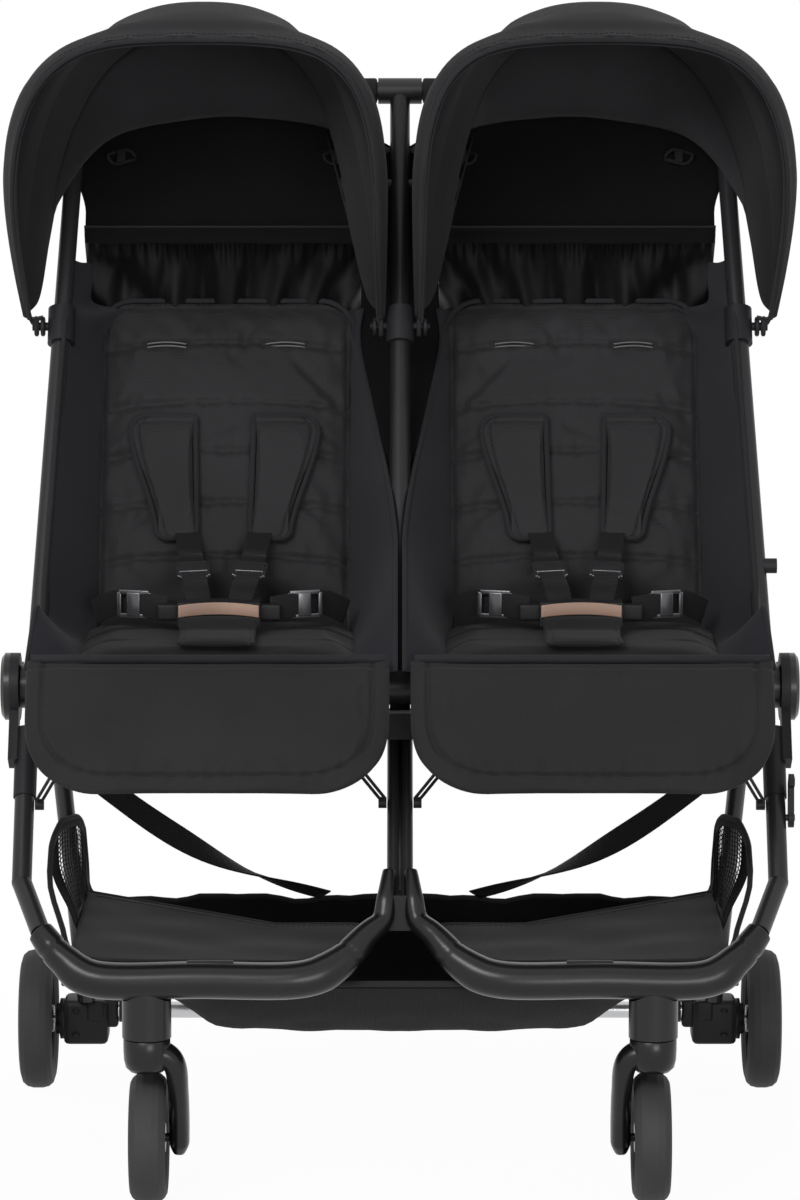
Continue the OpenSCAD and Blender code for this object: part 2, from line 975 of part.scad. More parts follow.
// Cloth behind the heads: a gathered band under a flat panel that lies on the handle tubes
cloth_half = back_half - 2;
folds = 10;
fold_steps = 80;
fold_h = 4;
top_y = crease[0] + back_len * cos(back_slope);
top_z = crease[1] + back_len * sin(back_slope);
panel_from = 458;
panel_to = 560;
panel_lift = center_tube_r + 0.4;
gather_y = top_y + 2;
gather_z = top_z + 9;
panel_y = hub_y + panel_from * cos(handle_dir) + (panel_lift + 1) * sin(handle_dir);
panel_z = hub_z + panel_from * sin(handle_dir) - (panel_lift + 1) * cos(handle_dir);
gather_dir = atan2(panel_z - gather_z, panel_y - gather_y);
gather_len = norm([panel_z - gather_z, panel_y - gather_y]) - 1.7;

// Flap that closes the back of each canopy, from the flat panel up to the roof
flap_back = 105;
flap_from = hub_z + panel_to * sin(handle_dir) - canopy_z - 3;
flap_to = sqrt(pow(canopy_r - cloth_t - 6, 2) - pow(flap_back, 2));
flap_out = 116;
flap_in = 160;
flap_steps = 10;

function flap_edge(most) = [for (i = [0 : flap_steps])
    let (z = flap_from + (flap_to - flap_from) * i / flap_steps,
        reach = shell_reach(canopy_r - cloth_t, rear_half - cloth_t, norm([flap_back, z])))
    [min(most, reach - 5), z]];

module canopy_flap() {
    side = flap_edge(flap_in);
    translate([canopy_x, canopy_y + flap_back, canopy_z])
        rotate([90, 0, 0])
            linear_extrude(cloth_t)
                polygon(concat(flap_edge(flap_out),
                    [for (i = [flap_steps : -1 : 0]) [-side[i][0], side[i][1]]]));
}

function fold_line(shift) = [for (i = [0 : fold_steps])
    [cloth_half * (2 * i / fold_steps - 1), shift + fold_h * sin(360 * folds * i / fold_steps)]];

module back_cloths() {
    color("#1c1c1f")
        both() {
            about(gather_y, gather_z, gather_dir - 90)
                translate([seat_x, 0, 0])
                    linear_extrude(gather_len)
                        polygon(concat(fold_line(-1.2),
                            [for (i = [fold_steps : -1 : 0]) fold_line(1.2)[i]]));
            about(hub_y, hub_z, handle_dir)
                block(3, tube_x_bar + 8, panel_from, panel_to, -panel_lift - cloth_t, -panel_lift);
            canopy_flap();
        }
}

// Side wings between the seat cushions and the handle tubes
wing_t = 3;
wing_back = 14;

module wing(x) {
    slab(x, x + wing_t, [
        [hub_y - 46, seat_z + 4], [hub_y + 30 + wing_back, seat_z + 4 + 16],
        [canopy_y + wing_back - 14, canopy_z - 30], [top_y - 20, top_z - 20],
        [crease[0] + 24, crease[1] + 40], [crease[0], seat_z + 4]]);
}

module side_wings() {
    color("#26262a")
        both() {
            wing(seat_x + back_half + gap);
            wing(seat_x - back_half - gap - wing_t);
        }
}

// Backrests
module recline_hinge() {
    disc(seat_x - rail_x - rail_r, seat_x + rail_x + rail_r, crease[0], crease[1], hinge_r);
}

module recline_hinge_right() {
    color("#8f9194")
        recline_hinge();
}

module recline_hinge_left() {
    color("#8f9194")
        left()
            recline_hinge();
}

lug_x = 80;
lug_half = 8;
back_t = 28;

module backrest() {
    difference() {
        union() {
            about(crease[0], crease[1], back_slope)
                translate([seat_x, hinge_r + 5, 2])
                    intersection() {
                        round_plate(back_half, back_len - hinge_r - 5, 34, back_t);
                        cushion(back_half + 6, back_len - hinge_r - 5, back_t);
                    }
            for (side = [-1, 1]) {
                disc(seat_x + side * lug_x - lug_half, seat_x + side * lug_x + lug_half,
                    crease[0], crease[1], hinge_r + 3.5);
                about(crease[0], crease[1], back_slope)
                    translate([seat_x + side * lug_x, 22, 0])
                        cube([2 * lug_half - 3, 36, 10], center = true);
            }
        }
        disc(0, 400, crease[0], crease[1], hinge_r + run);
        for (row = [0.25, 0.5, 0.72])
            about(crease[0], crease[1], back_slope)
                rod([seat_x - back_half - 5, back_len * row, back_t / 2 + 5],
                    [seat_x + back_half + 5, back_len * row, back_t / 2 + 5], 5);
    }
}

module backrest_right() {
    color("#242428")
        backrest();
}

module backrest_left() {
    color("#242428")
        left()
            backrest();
}

pad_half = 31;
pad_len = 124;
pad_from = 90;
pad_x = 51;

module shoulder_pads() {
    about(crease[0], crease[1], back_slope)
        for (side = [-1, 1])
            translate([seat_x + side * pad_x, pad_from, back_t / 2 + 8.4])
                rotate([0, 0, -7 * side])
                    intersection() {
                        round_plate(pad_half, pad_len, 16, 12);
                        cushion(pad_half + 2, pad_len, 12);
                    }
}

module shoulder_pads_right() {
    color("#2a2a2e")
        shoulder_pads();
}

module shoulder_pads_left() {
    color("#2a2a2e")
        left()
            shoulder_pads();
}

hubs();
hub_caps();
hub_pins();
front_legs();
center_legs();
footrests();
center_connector();
caster_housings();
cross_tubes();
seat_bases();
leg_rest_left();
leg_rest_right();
leg_rest_cords();
cord_knobs();
crotch_straps();
buckles();
harness_straps();
basket();
footwell_cloths();
basket_straps();
buckle_button_left();
buckle_button_right();
latch_hook();
rear_legs();
rear_cross_tube();
axle_brackets();
rear_axles();
rear_tyre_left();
rear_tyre_right();
rear_rim_left();
rear_rim_right();
brake_pedal_left();
brake_pedal_right();
caster_fork_left();
caster_fork_right();
front_tyre_left();
front_tyre_right();
front_rim_left();
front_rim_right();
handle_tubes();
handle_tube_center();
handlebar();
handle_grips();
canopy_clamps();
canopy_rear_left();
canopy_rear_right();
back_cloths();
side_wings();
latch_knob();
recline_hinge_left();
recline_hinge_right();
backrest_left();
backrest_right();
shoulder_pads_left();
shoulder_pads_right();
canopy_mid_left();
canopy_mid_right();
canopy_front_left();
canopy_front_right();
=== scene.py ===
"""Looks of a side by side double stroller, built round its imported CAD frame."""
import math

import bmesh
import bpy
import numpy as np
from mathutils import Matrix, Vector


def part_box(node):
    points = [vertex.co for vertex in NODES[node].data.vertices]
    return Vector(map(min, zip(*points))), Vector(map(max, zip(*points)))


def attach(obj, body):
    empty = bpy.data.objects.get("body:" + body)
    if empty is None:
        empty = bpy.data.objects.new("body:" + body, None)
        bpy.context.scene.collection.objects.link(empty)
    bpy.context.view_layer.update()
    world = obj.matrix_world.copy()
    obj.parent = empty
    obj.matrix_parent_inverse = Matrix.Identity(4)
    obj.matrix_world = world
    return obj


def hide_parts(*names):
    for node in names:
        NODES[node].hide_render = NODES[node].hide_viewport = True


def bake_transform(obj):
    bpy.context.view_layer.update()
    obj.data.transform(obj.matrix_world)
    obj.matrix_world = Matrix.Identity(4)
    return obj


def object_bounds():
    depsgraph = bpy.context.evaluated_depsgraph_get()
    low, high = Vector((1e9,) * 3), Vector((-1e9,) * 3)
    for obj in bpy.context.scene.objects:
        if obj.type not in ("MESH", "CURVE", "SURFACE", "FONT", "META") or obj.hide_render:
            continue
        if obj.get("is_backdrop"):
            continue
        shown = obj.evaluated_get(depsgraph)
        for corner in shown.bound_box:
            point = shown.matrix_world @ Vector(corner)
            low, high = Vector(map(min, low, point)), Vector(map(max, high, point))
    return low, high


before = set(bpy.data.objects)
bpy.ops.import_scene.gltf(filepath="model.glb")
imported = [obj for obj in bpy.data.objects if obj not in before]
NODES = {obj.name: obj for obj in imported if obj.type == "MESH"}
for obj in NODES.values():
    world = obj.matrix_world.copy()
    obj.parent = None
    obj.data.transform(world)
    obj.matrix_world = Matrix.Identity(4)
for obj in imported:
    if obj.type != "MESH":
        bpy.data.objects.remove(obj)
cad_low, cad_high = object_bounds()
MM = 0.001
scene = bpy.context.scene

# Sizes of the frame in millimetres, as in the part's source
HUB = (-69.5, 445.0)
HANDLE_DIR = 60.0
HANDLE_LEN = 615.5
TUBE_HUB, TUBE_BAR = 337.0, 309.0
BAR = (238.23, 978.0)
SEAT_X, SEAT_HALF, SEAT_Z, SEAT_T = 167.0, 134.0, 492.0, 34.0
SEAT_FRONT = -162.8
CREASE = (66.0, 486.0)
BACK_SLOPE, BACK_LEN, BACK_HALF, BACK_T = 63.0, 328.0, 126.0, 28.0
CALF_TOP, CALF_DIR = (-166.0, 484.0), 232.6
CALF_X, CALF_HALF, CALF_LEN, CALF_T = 173.0, 165.0, 139.0, 20.0
HOOD = (113.0, 761.1)
HOOD_X = 181.0
STEM_Y, REAR_Y = -257.5, 220.5
BUCKLE_Y, BUCKLE_Z = -60.5, 499.3


# Mesh helpers: points are written in millimetres
def turned(y0, z0, angle):
    """Maps local (x, along, out) points onto a plane through (y0, z0) that leans by angle degrees."""
    c, s = math.cos(math.radians(angle)), math.sin(math.radians(angle))
    return lambda p: (p[0], y0 + p[1] * c - p[2] * s, z0 + p[1] * s + p[2] * c)


back_plane = turned(CREASE[0], CREASE[1], BACK_SLOPE)
calf_plane = turned(CALF_TOP[0], CALF_TOP[1], CALF_DIR)
handle_plane = turned(HUB[0], HUB[1], HANDLE_DIR)


def make(name, points, faces, material, uvs=None, smooth=True):
    mesh = bpy.data.meshes.new(name)
    mesh.from_pydata([[c * MM for c in p] for p in points], [], faces)
    if uvs is not None:
        layer = mesh.uv_layers.new(name="cloth")
        for loop in mesh.loops:
            u, v = uvs[loop.vertex_index]
            layer.data[loop.index].uv = (u * MM, v * MM)
    mesh.polygons.foreach_set("use_smooth", [smooth] * len(mesh.polygons))
    mesh.update()
    obj = bpy.data.objects.new(name, mesh)
    scene.collection.objects.link(obj)
    mesh.materials.append(material)
    return obj


def grid(name, place, us, vs, material):
    """A sheet of place(u, v) with its cloth lengths as UVs; a count means even steps from 0 to 1."""
    us, vs = (np.linspace(0, 1, s) if isinstance(s, int) else s for s in (us, vs))
    pts = np.array([[place(u, v) for u in us] for v in vs], float)
    nv, nu = pts.shape[:2]
    along_u = np.zeros((nv, nu))
    along_u[:, 1:] = np.cumsum(np.linalg.norm(np.diff(pts, axis=1), axis=2), axis=1)
    along_u -= along_u[:, nu // 2][:, None]
    along_v = np.zeros((nv, nu))
    along_v[1:] = np.cumsum(np.linalg.norm(np.diff(pts, axis=0), axis=2), axis=0)
    mid = along_v[:, nu // 2][:, None] + 0 * along_v
    faces = [(j * nu + i, j * nu + i + 1, (j + 1) * nu + i + 1, (j + 1) * nu + i)
             for j in range(nv - 1) for i in range(nu - 1)]
    uvs = [(along_u.flat[i], mid.flat[i]) for i in range(nu * nv)]
    return make(name, pts.reshape(-1, 3), faces, material, uvs)


def area_of(obj):
    return sum(p.area for p in obj.data.polygons)


def thicken(obj, thickness, offset=0.0):
    m = obj.modifiers.new("thick", "SOLIDIFY")
    m.thickness = thickness * MM
    m.offset = offset


def cut_cloth(name, place, us, vs, material, thickness, offset=0.0):
    """A thickened sheet, with the area of one face of it in square metres."""
    obj = grid(name, place, us, vs, material)
    area = area_of(obj)
    thicken(obj, thickness, offset)
    return obj, area


def length_of(path):
    return sum(np.linalg.norm(np.array(b) - np.array(a)) for a, b in zip(path, path[1:])) * MM


def blend_rise(t):
    """Smooth step from 0 to 1."""
    t = max(0.0, min(1.0, t))
    return t * t * (3 - 2 * t)


def read_line(line, x):
    """Value at x of a line given as (x, value) points."""
    return float(np.interp(x, *zip(*line)))


def smooth_path(points, steps=8):
    """Catmull-Rom points through the given ones."""
    p = [np.array(q, float) for q in points]
    n = len(p)
    out = []
    for i in range(n - 1):
        a, b, c, d = p[max(i - 1, 0)], p[i], p[i + 1], p[min(i + 2, n - 1)]
        for k in range(steps):
            t = k / steps
            out.append(0.5 * (2 * b + (c - a) * t + (2 * a - 5 * b + 4 * c - d) * t * t
                              + (3 * b - a - 3 * c + d) * t ** 3))
    return out + [p[-1]]


def frames_along(path, closed=False, up=None):
    """Tangent, side and up at each point, without twist."""
    p = np.array(path, float)
    n = len(p)
    if closed:
        tan = np.roll(p, -1, 0) - np.roll(p, 1, 0)
    else:
        tan = np.gradient(p, axis=0)
    tan /= np.linalg.norm(tan, axis=1)[:, None]
    start = np.array(up if up is not None else (0.0, 0.0, 1.0), float)
    if abs(start @ tan[0]) > 0.95:
        start = np.array((0.0, 1.0, 0.0))
    ups = []
    for i in range(n):
        base = start if up is not None or i == 0 else ups[-1]
        v = base - (base @ tan[i]) * tan[i]
        ups.append(v / np.linalg.norm(v))
    ups = np.array(ups)
    return p, tan, np.cross(tan, ups), ups


def skin(rows, m, closed=False):
    """Faces between rows of m points: the last row joins the first one, or both ends are capped."""
    faces = []
    for i in range(rows if closed else rows - 1):
        j = (i + 1) % rows
        for k in range(m):
            q = (k + 1) % m
            faces.append((i * m + k, i * m + q, j * m + q, j * m + k))
    if not closed:
        faces.append(tuple(range(m - 1, -1, -1)))
        faces.append(tuple((rows - 1) * m + k for k in range(m)))
    return faces


def sweep_parts(path, section, closed=False, up=None):
    """Points and faces of a section [(side, up), ...] swept along a path, with its ends closed."""
    p, tan, side, ups = frames_along(path, closed, up)
    pts = [p[i] + side[i] * s + ups[i] * u for i in range(len(p)) for s, u in section]
    return pts, skin(len(p), len(section), closed)


def ring(r, sides=8):
    return [(r * math.cos(2 * math.pi * k / sides), r * math.sin(2 * math.pi * k / sides))
            for k in range(sides)]


def ribbon(width, thick):
    """Section of webbing with rounded edges."""
    w, t = width / 2, thick / 2
    return [(-w, -t * 0.5), (-w + t, -t), (w - t, -t), (w, -t * 0.5),
            (w, t * 0.5), (w - t, t), (-w + t, t), (-w, t * 0.5)]


class Bits:
    """Several small forms gathered into one piece."""

    def __init__(self):
        self.points, self.faces = [], []

    def add(self, points, faces):
        base = len(self.points)
        self.points += [tuple(p) for p in points]
        self.faces += [tuple(base + i for i in f) for f in faces]

    def tube(self, path, r, sides=8, closed=False):
        self.add(*sweep_parts(path, ring(r, sides), closed))

    def stitches(self, path, pitch=5.0, length=3.2, r=0.45):
        """A row of short threads along a path."""
        p = np.array(path, float)
        step = np.linalg.norm(np.diff(p, axis=0), axis=1)
        run = np.concatenate([[0], np.cumsum(step)])
        at = 0.5 * pitch
        while at + length < run[-1]:
            ends = [np.array([np.interp(d, run, p[:, k]) for k in range(3)])
                    for d in (at, at + length / 2, at + length)]
            self.add(*sweep_parts(ends, ring(r, 5)))
            at += pitch

    def rounded_box(self, low, high, place=None, round_by=1.5):
        """A box with its edges taken off, mapped through place()."""
        bm = bmesh.new()
        bmesh.ops.create_cube(bm, size=1)
        for v in bm.verts:
            for k in range(3):
                v.co[k] = low[k] if v.co[k] < 0 else high[k]
        bmesh.ops.bevel(bm, geom=bm.edges[:], offset=round_by, segments=3, profile=0.6,
                        affect="EDGES")
        bm.verts.index_update()
        pts = [tuple(v.co) for v in bm.verts]
        self.add([place(p) if place else p for p in pts],
                 [tuple(v.index for v in f.verts) for f in bm.faces])
        bm.free()

    def done(self, name, material):
        return make(name, self.points, self.faces, material)


def flipped(obj, name):
    """The other side's copy of a piece, mirrored across the centre plane."""
    mesh = obj.data.copy()
    mesh.name = name
    mesh.transform(Matrix.Diagonal((-1, 1, 1, 1)))
    mesh.flip_normals()
    other = bpy.data.objects.new(name, mesh)
    scene.collection.objects.link(other)
    for m in obj.modifiers:
        copy = other.modifiers.new(m.name, m.type)
        for prop in ("thickness", "offset", "levels", "render_levels", "use_even_offset"):
            if hasattr(m, prop):
                setattr(copy, prop, getattr(m, prop))
    return other


def loft(path, sizes, up, sides=24, power=2.6):
    """Points and faces of a rounded section whose two half sizes change along the path."""
    p, tan, side, ups = frames_along(path, up=up)
    unit = []
    for k in range(sides):
        a = 2 * math.pi * k / sides
        c, s = math.cos(a), math.sin(a)
        r = (abs(c) ** power + abs(s) ** power) ** (-1 / power)
        unit.append((r * c, r * s))
    pts = [p[i] + side[i] * wide * c + ups[i] * high * s
           for i, (wide, high) in enumerate(sizes) for c, s in unit]
    return pts, skin(len(p), sides)


def turning(profile, at, turns=40, axis=2, closed=False):
    """Points and faces of a round form: profile is [(radius, distance along the axis), ...]."""
    pts, faces, m = [], [], len(profile)
    for k in range(turns):
        a = 2 * math.pi * k / turns
        for r, h in profile:
            c, s = r * math.cos(a), r * math.sin(a)
            q = (c, s, h) if axis == 2 else (h, c, s)
            pts.append(tuple(at[i] + q[i] for i in range(3)))
    for k in range(turns):
        j = (k + 1) % turns
        for i in range(m if closed else m - 1):
            q = (i + 1) % m
            faces.append((k * m + i, j * m + i, j * m + q, k * m + q))
    return pts, faces


# Materials
def shader(name):
    m = bpy.data.materials.new(name)
    m.use_nodes = True
    return m, m.node_tree.nodes, m.node_tree.links, m.node_tree.nodes["Principled BSDF"]


def node(nodes, kind, **values):
    n = nodes.new(kind)
    for key, value in values.items():
        if hasattr(n, key):
            setattr(n, key, value)
        else:
            n.inputs[key.replace("_", " ").title()].default_value = value
    return n


def ramp(nodes, stops):
    n = nodes.new("ShaderNodeValToRGB")
    el = n.color_ramp.elements
    el[0].position, el[0].color = stops[0][0], (*stops[0][1], 1)
    el[1].position, el[1].color = stops[-1][0], (*stops[-1][1], 1)
    for at, colour in stops[1:-1]:
        el.new(at).color = (*colour, 1)
    return n


def shade(colour, by):
    return tuple(min(1.0, c * by) for c in colour)


def noise(n, l, where, scale, detail):
    """A noise read at the given coordinates."""
    made = node(n, "ShaderNodeTexNoise", scale=scale, detail=detail)
    l.new(where, made.inputs["Vector"])
    return made.outputs["Fac"]


def toned(n, l, value, stops):
    """A colour ramp read at the given value."""
    made = ramp(n, stops)
    l.new(value, made.inputs["Fac"])
    return made.outputs["Color"]


def ranged(n, l, value, **limits):
    """A value mapped to the given limits."""
    made = node(n, "ShaderNodeMapRange", **limits)
    l.new(value, made.inputs["Value"])
    return made.outputs["Result"]


def bumped(n, l, b, height, distance, strength):
    """Relief of the given depth in metres."""
    made = node(n, "ShaderNodeBump", distance=distance, strength=strength)
    l.new(height, made.inputs["Height"])
    l.new(made.outputs["Normal"], b.inputs["Normal"])


def hard(name, colour, rough, spread=0.06, grain=900.0, height=0.00004, wear=1.8, coat=0.0,
         metal=0.0, shine=0.3):
    """Painted metal or moulded plastic: a fine grain, uneven gloss and paler worn edges."""
    m, n, l, b = shader(name)
    where = n.new("ShaderNodeTexCoord").outputs["Object"]
    tone = toned(n, l, noise(n, l, where, 14.0, 5.0), [(0.3, shade(colour, 0.82)), (0.7, shade(colour, 1.2))])
    shape = n.new("ShaderNodeNewGeometry")
    edge = toned(n, l, shape.outputs["Pointiness"], [(0.52, (0, 0, 0)), (0.6, (1, 1, 1))])
    mix = node(n, "ShaderNodeMix", data_type="RGBA")
    l.new(edge, mix.inputs[0])
    l.new(tone, mix.inputs[6])
    mix.inputs[7].default_value = (*shade(colour, wear), 1)
    l.new(mix.outputs[2], b.inputs["Base Color"])
    smear = noise(n, l, where, 38.0, 6.0)
    gloss = ranged(n, l, smear, to_min=max(0.03, rough - spread), to_max=rough + spread)
    l.new(gloss, b.inputs["Roughness"])
    bumped(n, l, b, noise(n, l, where, grain, 2.0), height, 0.6)
    b.inputs["Metallic"].default_value = metal
    b.inputs["Specular IOR Level"].default_value = shine
    if coat:
        b.inputs["Coat Weight"].default_value = coat
        b.inputs["Coat Roughness"].default_value = 0.12
    return m


# A wave texture at scale 1 repeats after this many metres
WAVE_LENGTH = 0.314159


def cloth(name, colour, pitch=1.3, height=0.00025, rough=0.86, sheen=0.06, by_uv=True, lean=0.0,
          shine=0.14):
    """Plain woven cloth: crossing threads, slubs, and slow changes of tone."""
    m, n, l, b = shader(name)
    where = n.new("ShaderNodeTexCoord")
    place = n.new("ShaderNodeMapping")
    place.inputs["Rotation"].default_value = (math.radians(lean), 0, 0)
    l.new(where.outputs["UV" if by_uv else "Object"], place.inputs["Vector"])
    spot = place.outputs["Vector"]
    scale = WAVE_LENGTH / (pitch * MM)
    weave = node(n, "ShaderNodeMath", operation="MULTIPLY")
    for k, (way, across) in enumerate((("X", 1.0), ("Y" if by_uv else "Z", 0.92))):
        w = node(n, "ShaderNodeTexWave", scale=scale * across, distortion=0.6, detail=1.0)
        w.bands_direction = way
        l.new(spot, w.inputs["Vector"])
        l.new(w.outputs["Fac"], weave.inputs[k])
    high = node(n, "ShaderNodeMath", operation="MULTIPLY_ADD")
    l.new(noise(n, l, spot, 420.0, 3.0), high.inputs[0])
    high.inputs[1].default_value = 0.5
    l.new(weave.outputs["Value"], high.inputs[2])
    bumped(n, l, b, high.outputs["Value"], height, 0.8)
    slow = noise(n, l, where.outputs["Object"], 9.0, 4.0)
    tone = toned(n, l, slow, [(0.3, shade(colour, 0.8)), (0.7, shade(colour, 1.18))])
    thread = node(n, "ShaderNodeMix", data_type="RGBA", blend_type="MULTIPLY")
    thread.inputs[0].default_value = 0.55
    l.new(tone, thread.inputs[6])
    dark = toned(n, l, weave.outputs["Value"], [(0.0, (0.45, 0.45, 0.45)), (0.7, (1, 1, 1))])
    l.new(dark, thread.inputs[7])
    l.new(thread.outputs[2], b.inputs["Base Color"])
    l.new(ranged(n, l, slow, to_min=rough - 0.07, to_max=min(1.0, rough + 0.07)), b.inputs["Roughness"])
    b.inputs["Sheen Weight"].default_value = sheen
    b.inputs["Sheen Roughness"].default_value = 0.45
    b.inputs["Specular IOR Level"].default_value = shine
    return m


SATIN = hard("satin_tube", (0.011, 0.011, 0.012), 0.36, coat=0.05, shine=0.25)
GLOSS = hard("gloss_black", (0.0065, 0.0065, 0.007), 0.3, spread=0.05, height=0.00002, coat=0.05,
             shine=0.3)
MATT = hard("matt_black", (0.0085, 0.0085, 0.0095), 0.5, grain=1500.0, height=0.00008, shine=0.17)
STEEL = hard("pin_steel", (0.42, 0.42, 0.43), 0.3, wear=1.3, metal=1.0, shine=0.5)
RUBBER = hard("tyre_rubber", (0.034, 0.034, 0.035), 0.7, grain=700.0, height=0.00015, wear=1.5)
FOAM = hard("grip_foam", (0.017, 0.017, 0.018), 0.88, grain=1100.0, height=0.0005, wear=1.4, shine=0.2)
PAD = cloth("pad_cloth", (0.026, 0.026, 0.028), by_uv=False, lean=-27.0, rough=0.72, shine=0.18)
# Seat cloth, darker than the pad cloth: painted shade on the seat cushion, the crease cloth and the crotch
# panel
SEAT_PAINTED_SHADE = cloth("seat_cloth_painted_shade", (0.016, 0.016, 0.0175), by_uv=False, lean=90.0)
CALF = cloth("calf_cloth", (0.0225, 0.0223, 0.023), by_uv=False, lean=37.0, rough=0.76)
HOODING = cloth("hood_cloth", (0.0175, 0.0175, 0.0197), pitch=1.1)
# Paler copy of the hood cloth for the canopy's inner rear wall: painted light inside the canopy
ROOF_PAINTED_LIGHT = cloth("roof_cloth_painted_light", (0.032, 0.032, 0.035), pitch=1.1)
LINING = cloth("lining_cloth", (0.0055, 0.0055, 0.0058), pitch=1.0, sheen=0.02, shine=0.08)
# Gathered lining cloth, glossier than the lining; its darker colour is painted shade among the folds
GATHER_PAINTED_SHADE = cloth("gather_cloth_painted_shade", (0.0032, 0.0032, 0.0035), pitch=1.0, rough=0.48, sheen=0.02, shine=0.2)
WINGS = cloth("wing_cloth", (0.025, 0.025, 0.031), pitch=1.2)
BASKET = cloth("basket_cloth", (0.008, 0.008, 0.009), pitch=1.5, shine=0.1)
FOOTING = cloth("foot_cloth", (0.0165, 0.0165, 0.0195), pitch=1.5)
BELT = cloth("webbing", (0.013, 0.013, 0.014), pitch=1.6, height=0.0004, rough=0.7, sheen=0.04,
             by_uv=False)
PIPING = cloth("piping", (0.026, 0.026, 0.029), pitch=1.0, by_uv=False)
LEATHER = hard("tan_patch", (0.31, 0.2, 0.15), 0.55, grain=600.0, height=0.0003, wear=1.25)


# Finishes of the rigid CAD pieces
FINISH = [
    (SATIN, ["front_legs", "center_legs", "cross_tubes", "rear_legs",
             "handle_tubes", "handle_tube_center", "handlebar", "recline_hinge_left",
             "recline_hinge_right"]),
    (GLOSS, ["hub_caps", "caster_housings", "front_rim_left", "front_rim_right", "rear_rim_left",
             "rear_rim_right"]),
    (MATT, ["hubs", "center_connector", "canopy_clamps", "cord_knobs",
            "latch_hook", "latch_knob", "brake_pedal_left", "brake_pedal_right",
            "buckles", "buckle_button_left", "buckle_button_right"]),
    (STEEL, ["hub_pins", "rear_axles", "rear_cross_tube"]),
    (RUBBER, ["front_tyre_left", "front_tyre_right", "rear_tyre_left", "rear_tyre_right"]),
]
for material, names in FINISH:
    for name in names:
        mesh = NODES[name].data
        mesh.materials.clear()
        mesh.materials.append(material)


SIGN = {"right": 1, "left": -1}


def pair(obj, base):
    """A right piece and its mirrored left one, as [(object, side name), ...]."""
    obj.name = obj.data.name = base + "_right"
    return [(obj, "right"), (flipped(obj, base + "_left"), "left")]


def tube_x(d):
    return TUBE_HUB - (TUBE_HUB - TUBE_BAR) * d / HANDLE_LEN


def on_tube(d, out=0.0, x=None):
    """A point d along the handle tubes, out of them towards the front."""
    return handle_plane((tube_x(d) if x is None else x, d, out))


# Canopies: one sheet each, from the fixed rear edge over two bows to the front hem
SKIRT_DEG, REAR_DEG, FRONT_DEG = 58.3, 66.0, 124.0
BOW_DEG = (66.0, 90.0, 107.0, 124.0)
HOOD_DEG = (58.0, 66.0, 80.0, 92.0, 102.0, 107.0, 110.0, 115.0, 119.5, 124.0)
HOOD_R = (299.5, 299.5, 302.5, 305.0, 304.5, 302.5, 301.0, 305.0, 311.5, 313.0)
HOOD_HALF = (138.0, 142.0, 155.0, 168.0, 179.0, 183.0, 184.5, 182.0, 176.0, 172.0)
HOOD_MID = HOOD_X + 3.5
TIP_HALF = 165.0
HOOD_MEAN = 304.0
HEM_SWEEP, HOOD_SLACK, HOOD_BELLY = 8.8, 2.0, 6.5
SEAM_HIGH, SEAM_DEG = 1.5, 0.45
LOWER_LINE, LOWER_RISE, LOWER_RUN = 1812.0, 114.0, 170.0
HOOD_ROUND = (2.8, 2.7, 2.55, 2.5, 2.6, 3.2, 4.0, 4.3, 4.1, 4.0)


def foot(deg):
    """Distance from the pin to the lower edge, a line from the hem's foot to the rear corner."""
    t = math.radians(deg)
    return LOWER_LINE / (LOWER_RISE * math.sin(t) - LOWER_RUN * math.cos(t))


def hem_deg(share):
    """The front hem sweeps back a little over the crown."""
    return FRONT_DEG - HEM_SWEEP * math.sin(math.pi * share) ** 2


def shell(r, a, power, f):
    """Distance out from the pins and across, f radians round a rounded arch that narrows to the pins."""
    c, s = math.cos(f), math.sin(f)
    k = (abs(c) ** power + abs(s) ** power) ** (-1 / power)
    out = r * k * s
    tip = TIP_HALF + 0.35 * (a - HOOD_HALF[-1])
    wide = tip + (a - tip) * math.sin(0.5 * math.pi * min(1.0, out / 235))
    return out, wide * k * c


def hood_at(share, deg, inset=0.0):
    """A point of the canopy: share 0 to 1 from its outer foot to its inner one, deg round the pin."""
    r = np.interp(deg, HOOD_DEG, HOOD_R) - inset
    a = np.interp(deg, HOOD_DEG, HOOD_HALF) - inset
    for low, high in zip(BOW_DEG, BOW_DEG[1:]):
        if low <= deg <= high:
            slack = math.sin(math.pi * (deg - low) / (high - low))
            r -= HOOD_SLACK * slack
            a -= HOOD_SLACK * slack
    f0 = math.atan(foot(deg) / r)
    return shell(r, a, np.interp(deg, HOOD_DEG, HOOD_ROUND), f0 + (math.pi - 2 * f0) * share)


def rear_deg(share):
    """The rear edge leans back at the sides, where it meets the handle tubes."""
    out = hood_at(share, SKIRT_DEG)[0]
    return SKIRT_DEG + (REAR_DEG - SKIRT_DEG) * blend_rise((out - 205) / 50)


def hood_point(deg, out, x):
    """Turns a point of the canopy's section to its angle round the pin; the sides belly out a little."""
    t = math.radians(deg)
    belly = HOOD_BELLY * math.sin(math.pi * min(1.0, out / 300))
    return HOOD_MID + belly + x, HOOD[0] + out * math.cos(t), HOOD[1] + out * math.sin(t)


def hood_place(share, v, lift=0.0):
    back = rear_deg(share)
    deg = back + (hem_deg(share) - back) * v
    out, x = hood_at(share, deg)
    for seam in BOW_DEG[1:3]:
        out += SEAM_HIGH * max(0.0, 1 - abs(deg - seam) / SEAM_DEG)
    hem = blend_rise((v - 0.9) / 0.1)
    out -= hem * (0.7 * math.sin(share * 190) + 1.1 * math.sin(share * 61 + 1.0))
    return hood_point(deg, out + lift, x)


def hood_rows():
    rows = set(np.linspace(0, 1, 33))
    for seam in BOW_DEG[1:3]:
        v = (seam - REAR_DEG) / (FRONT_DEG - 3.0 - REAR_DEG)
        rows |= {v - 0.012, v - 0.005, v, v + 0.005, v + 0.012}
    return sorted(rows)


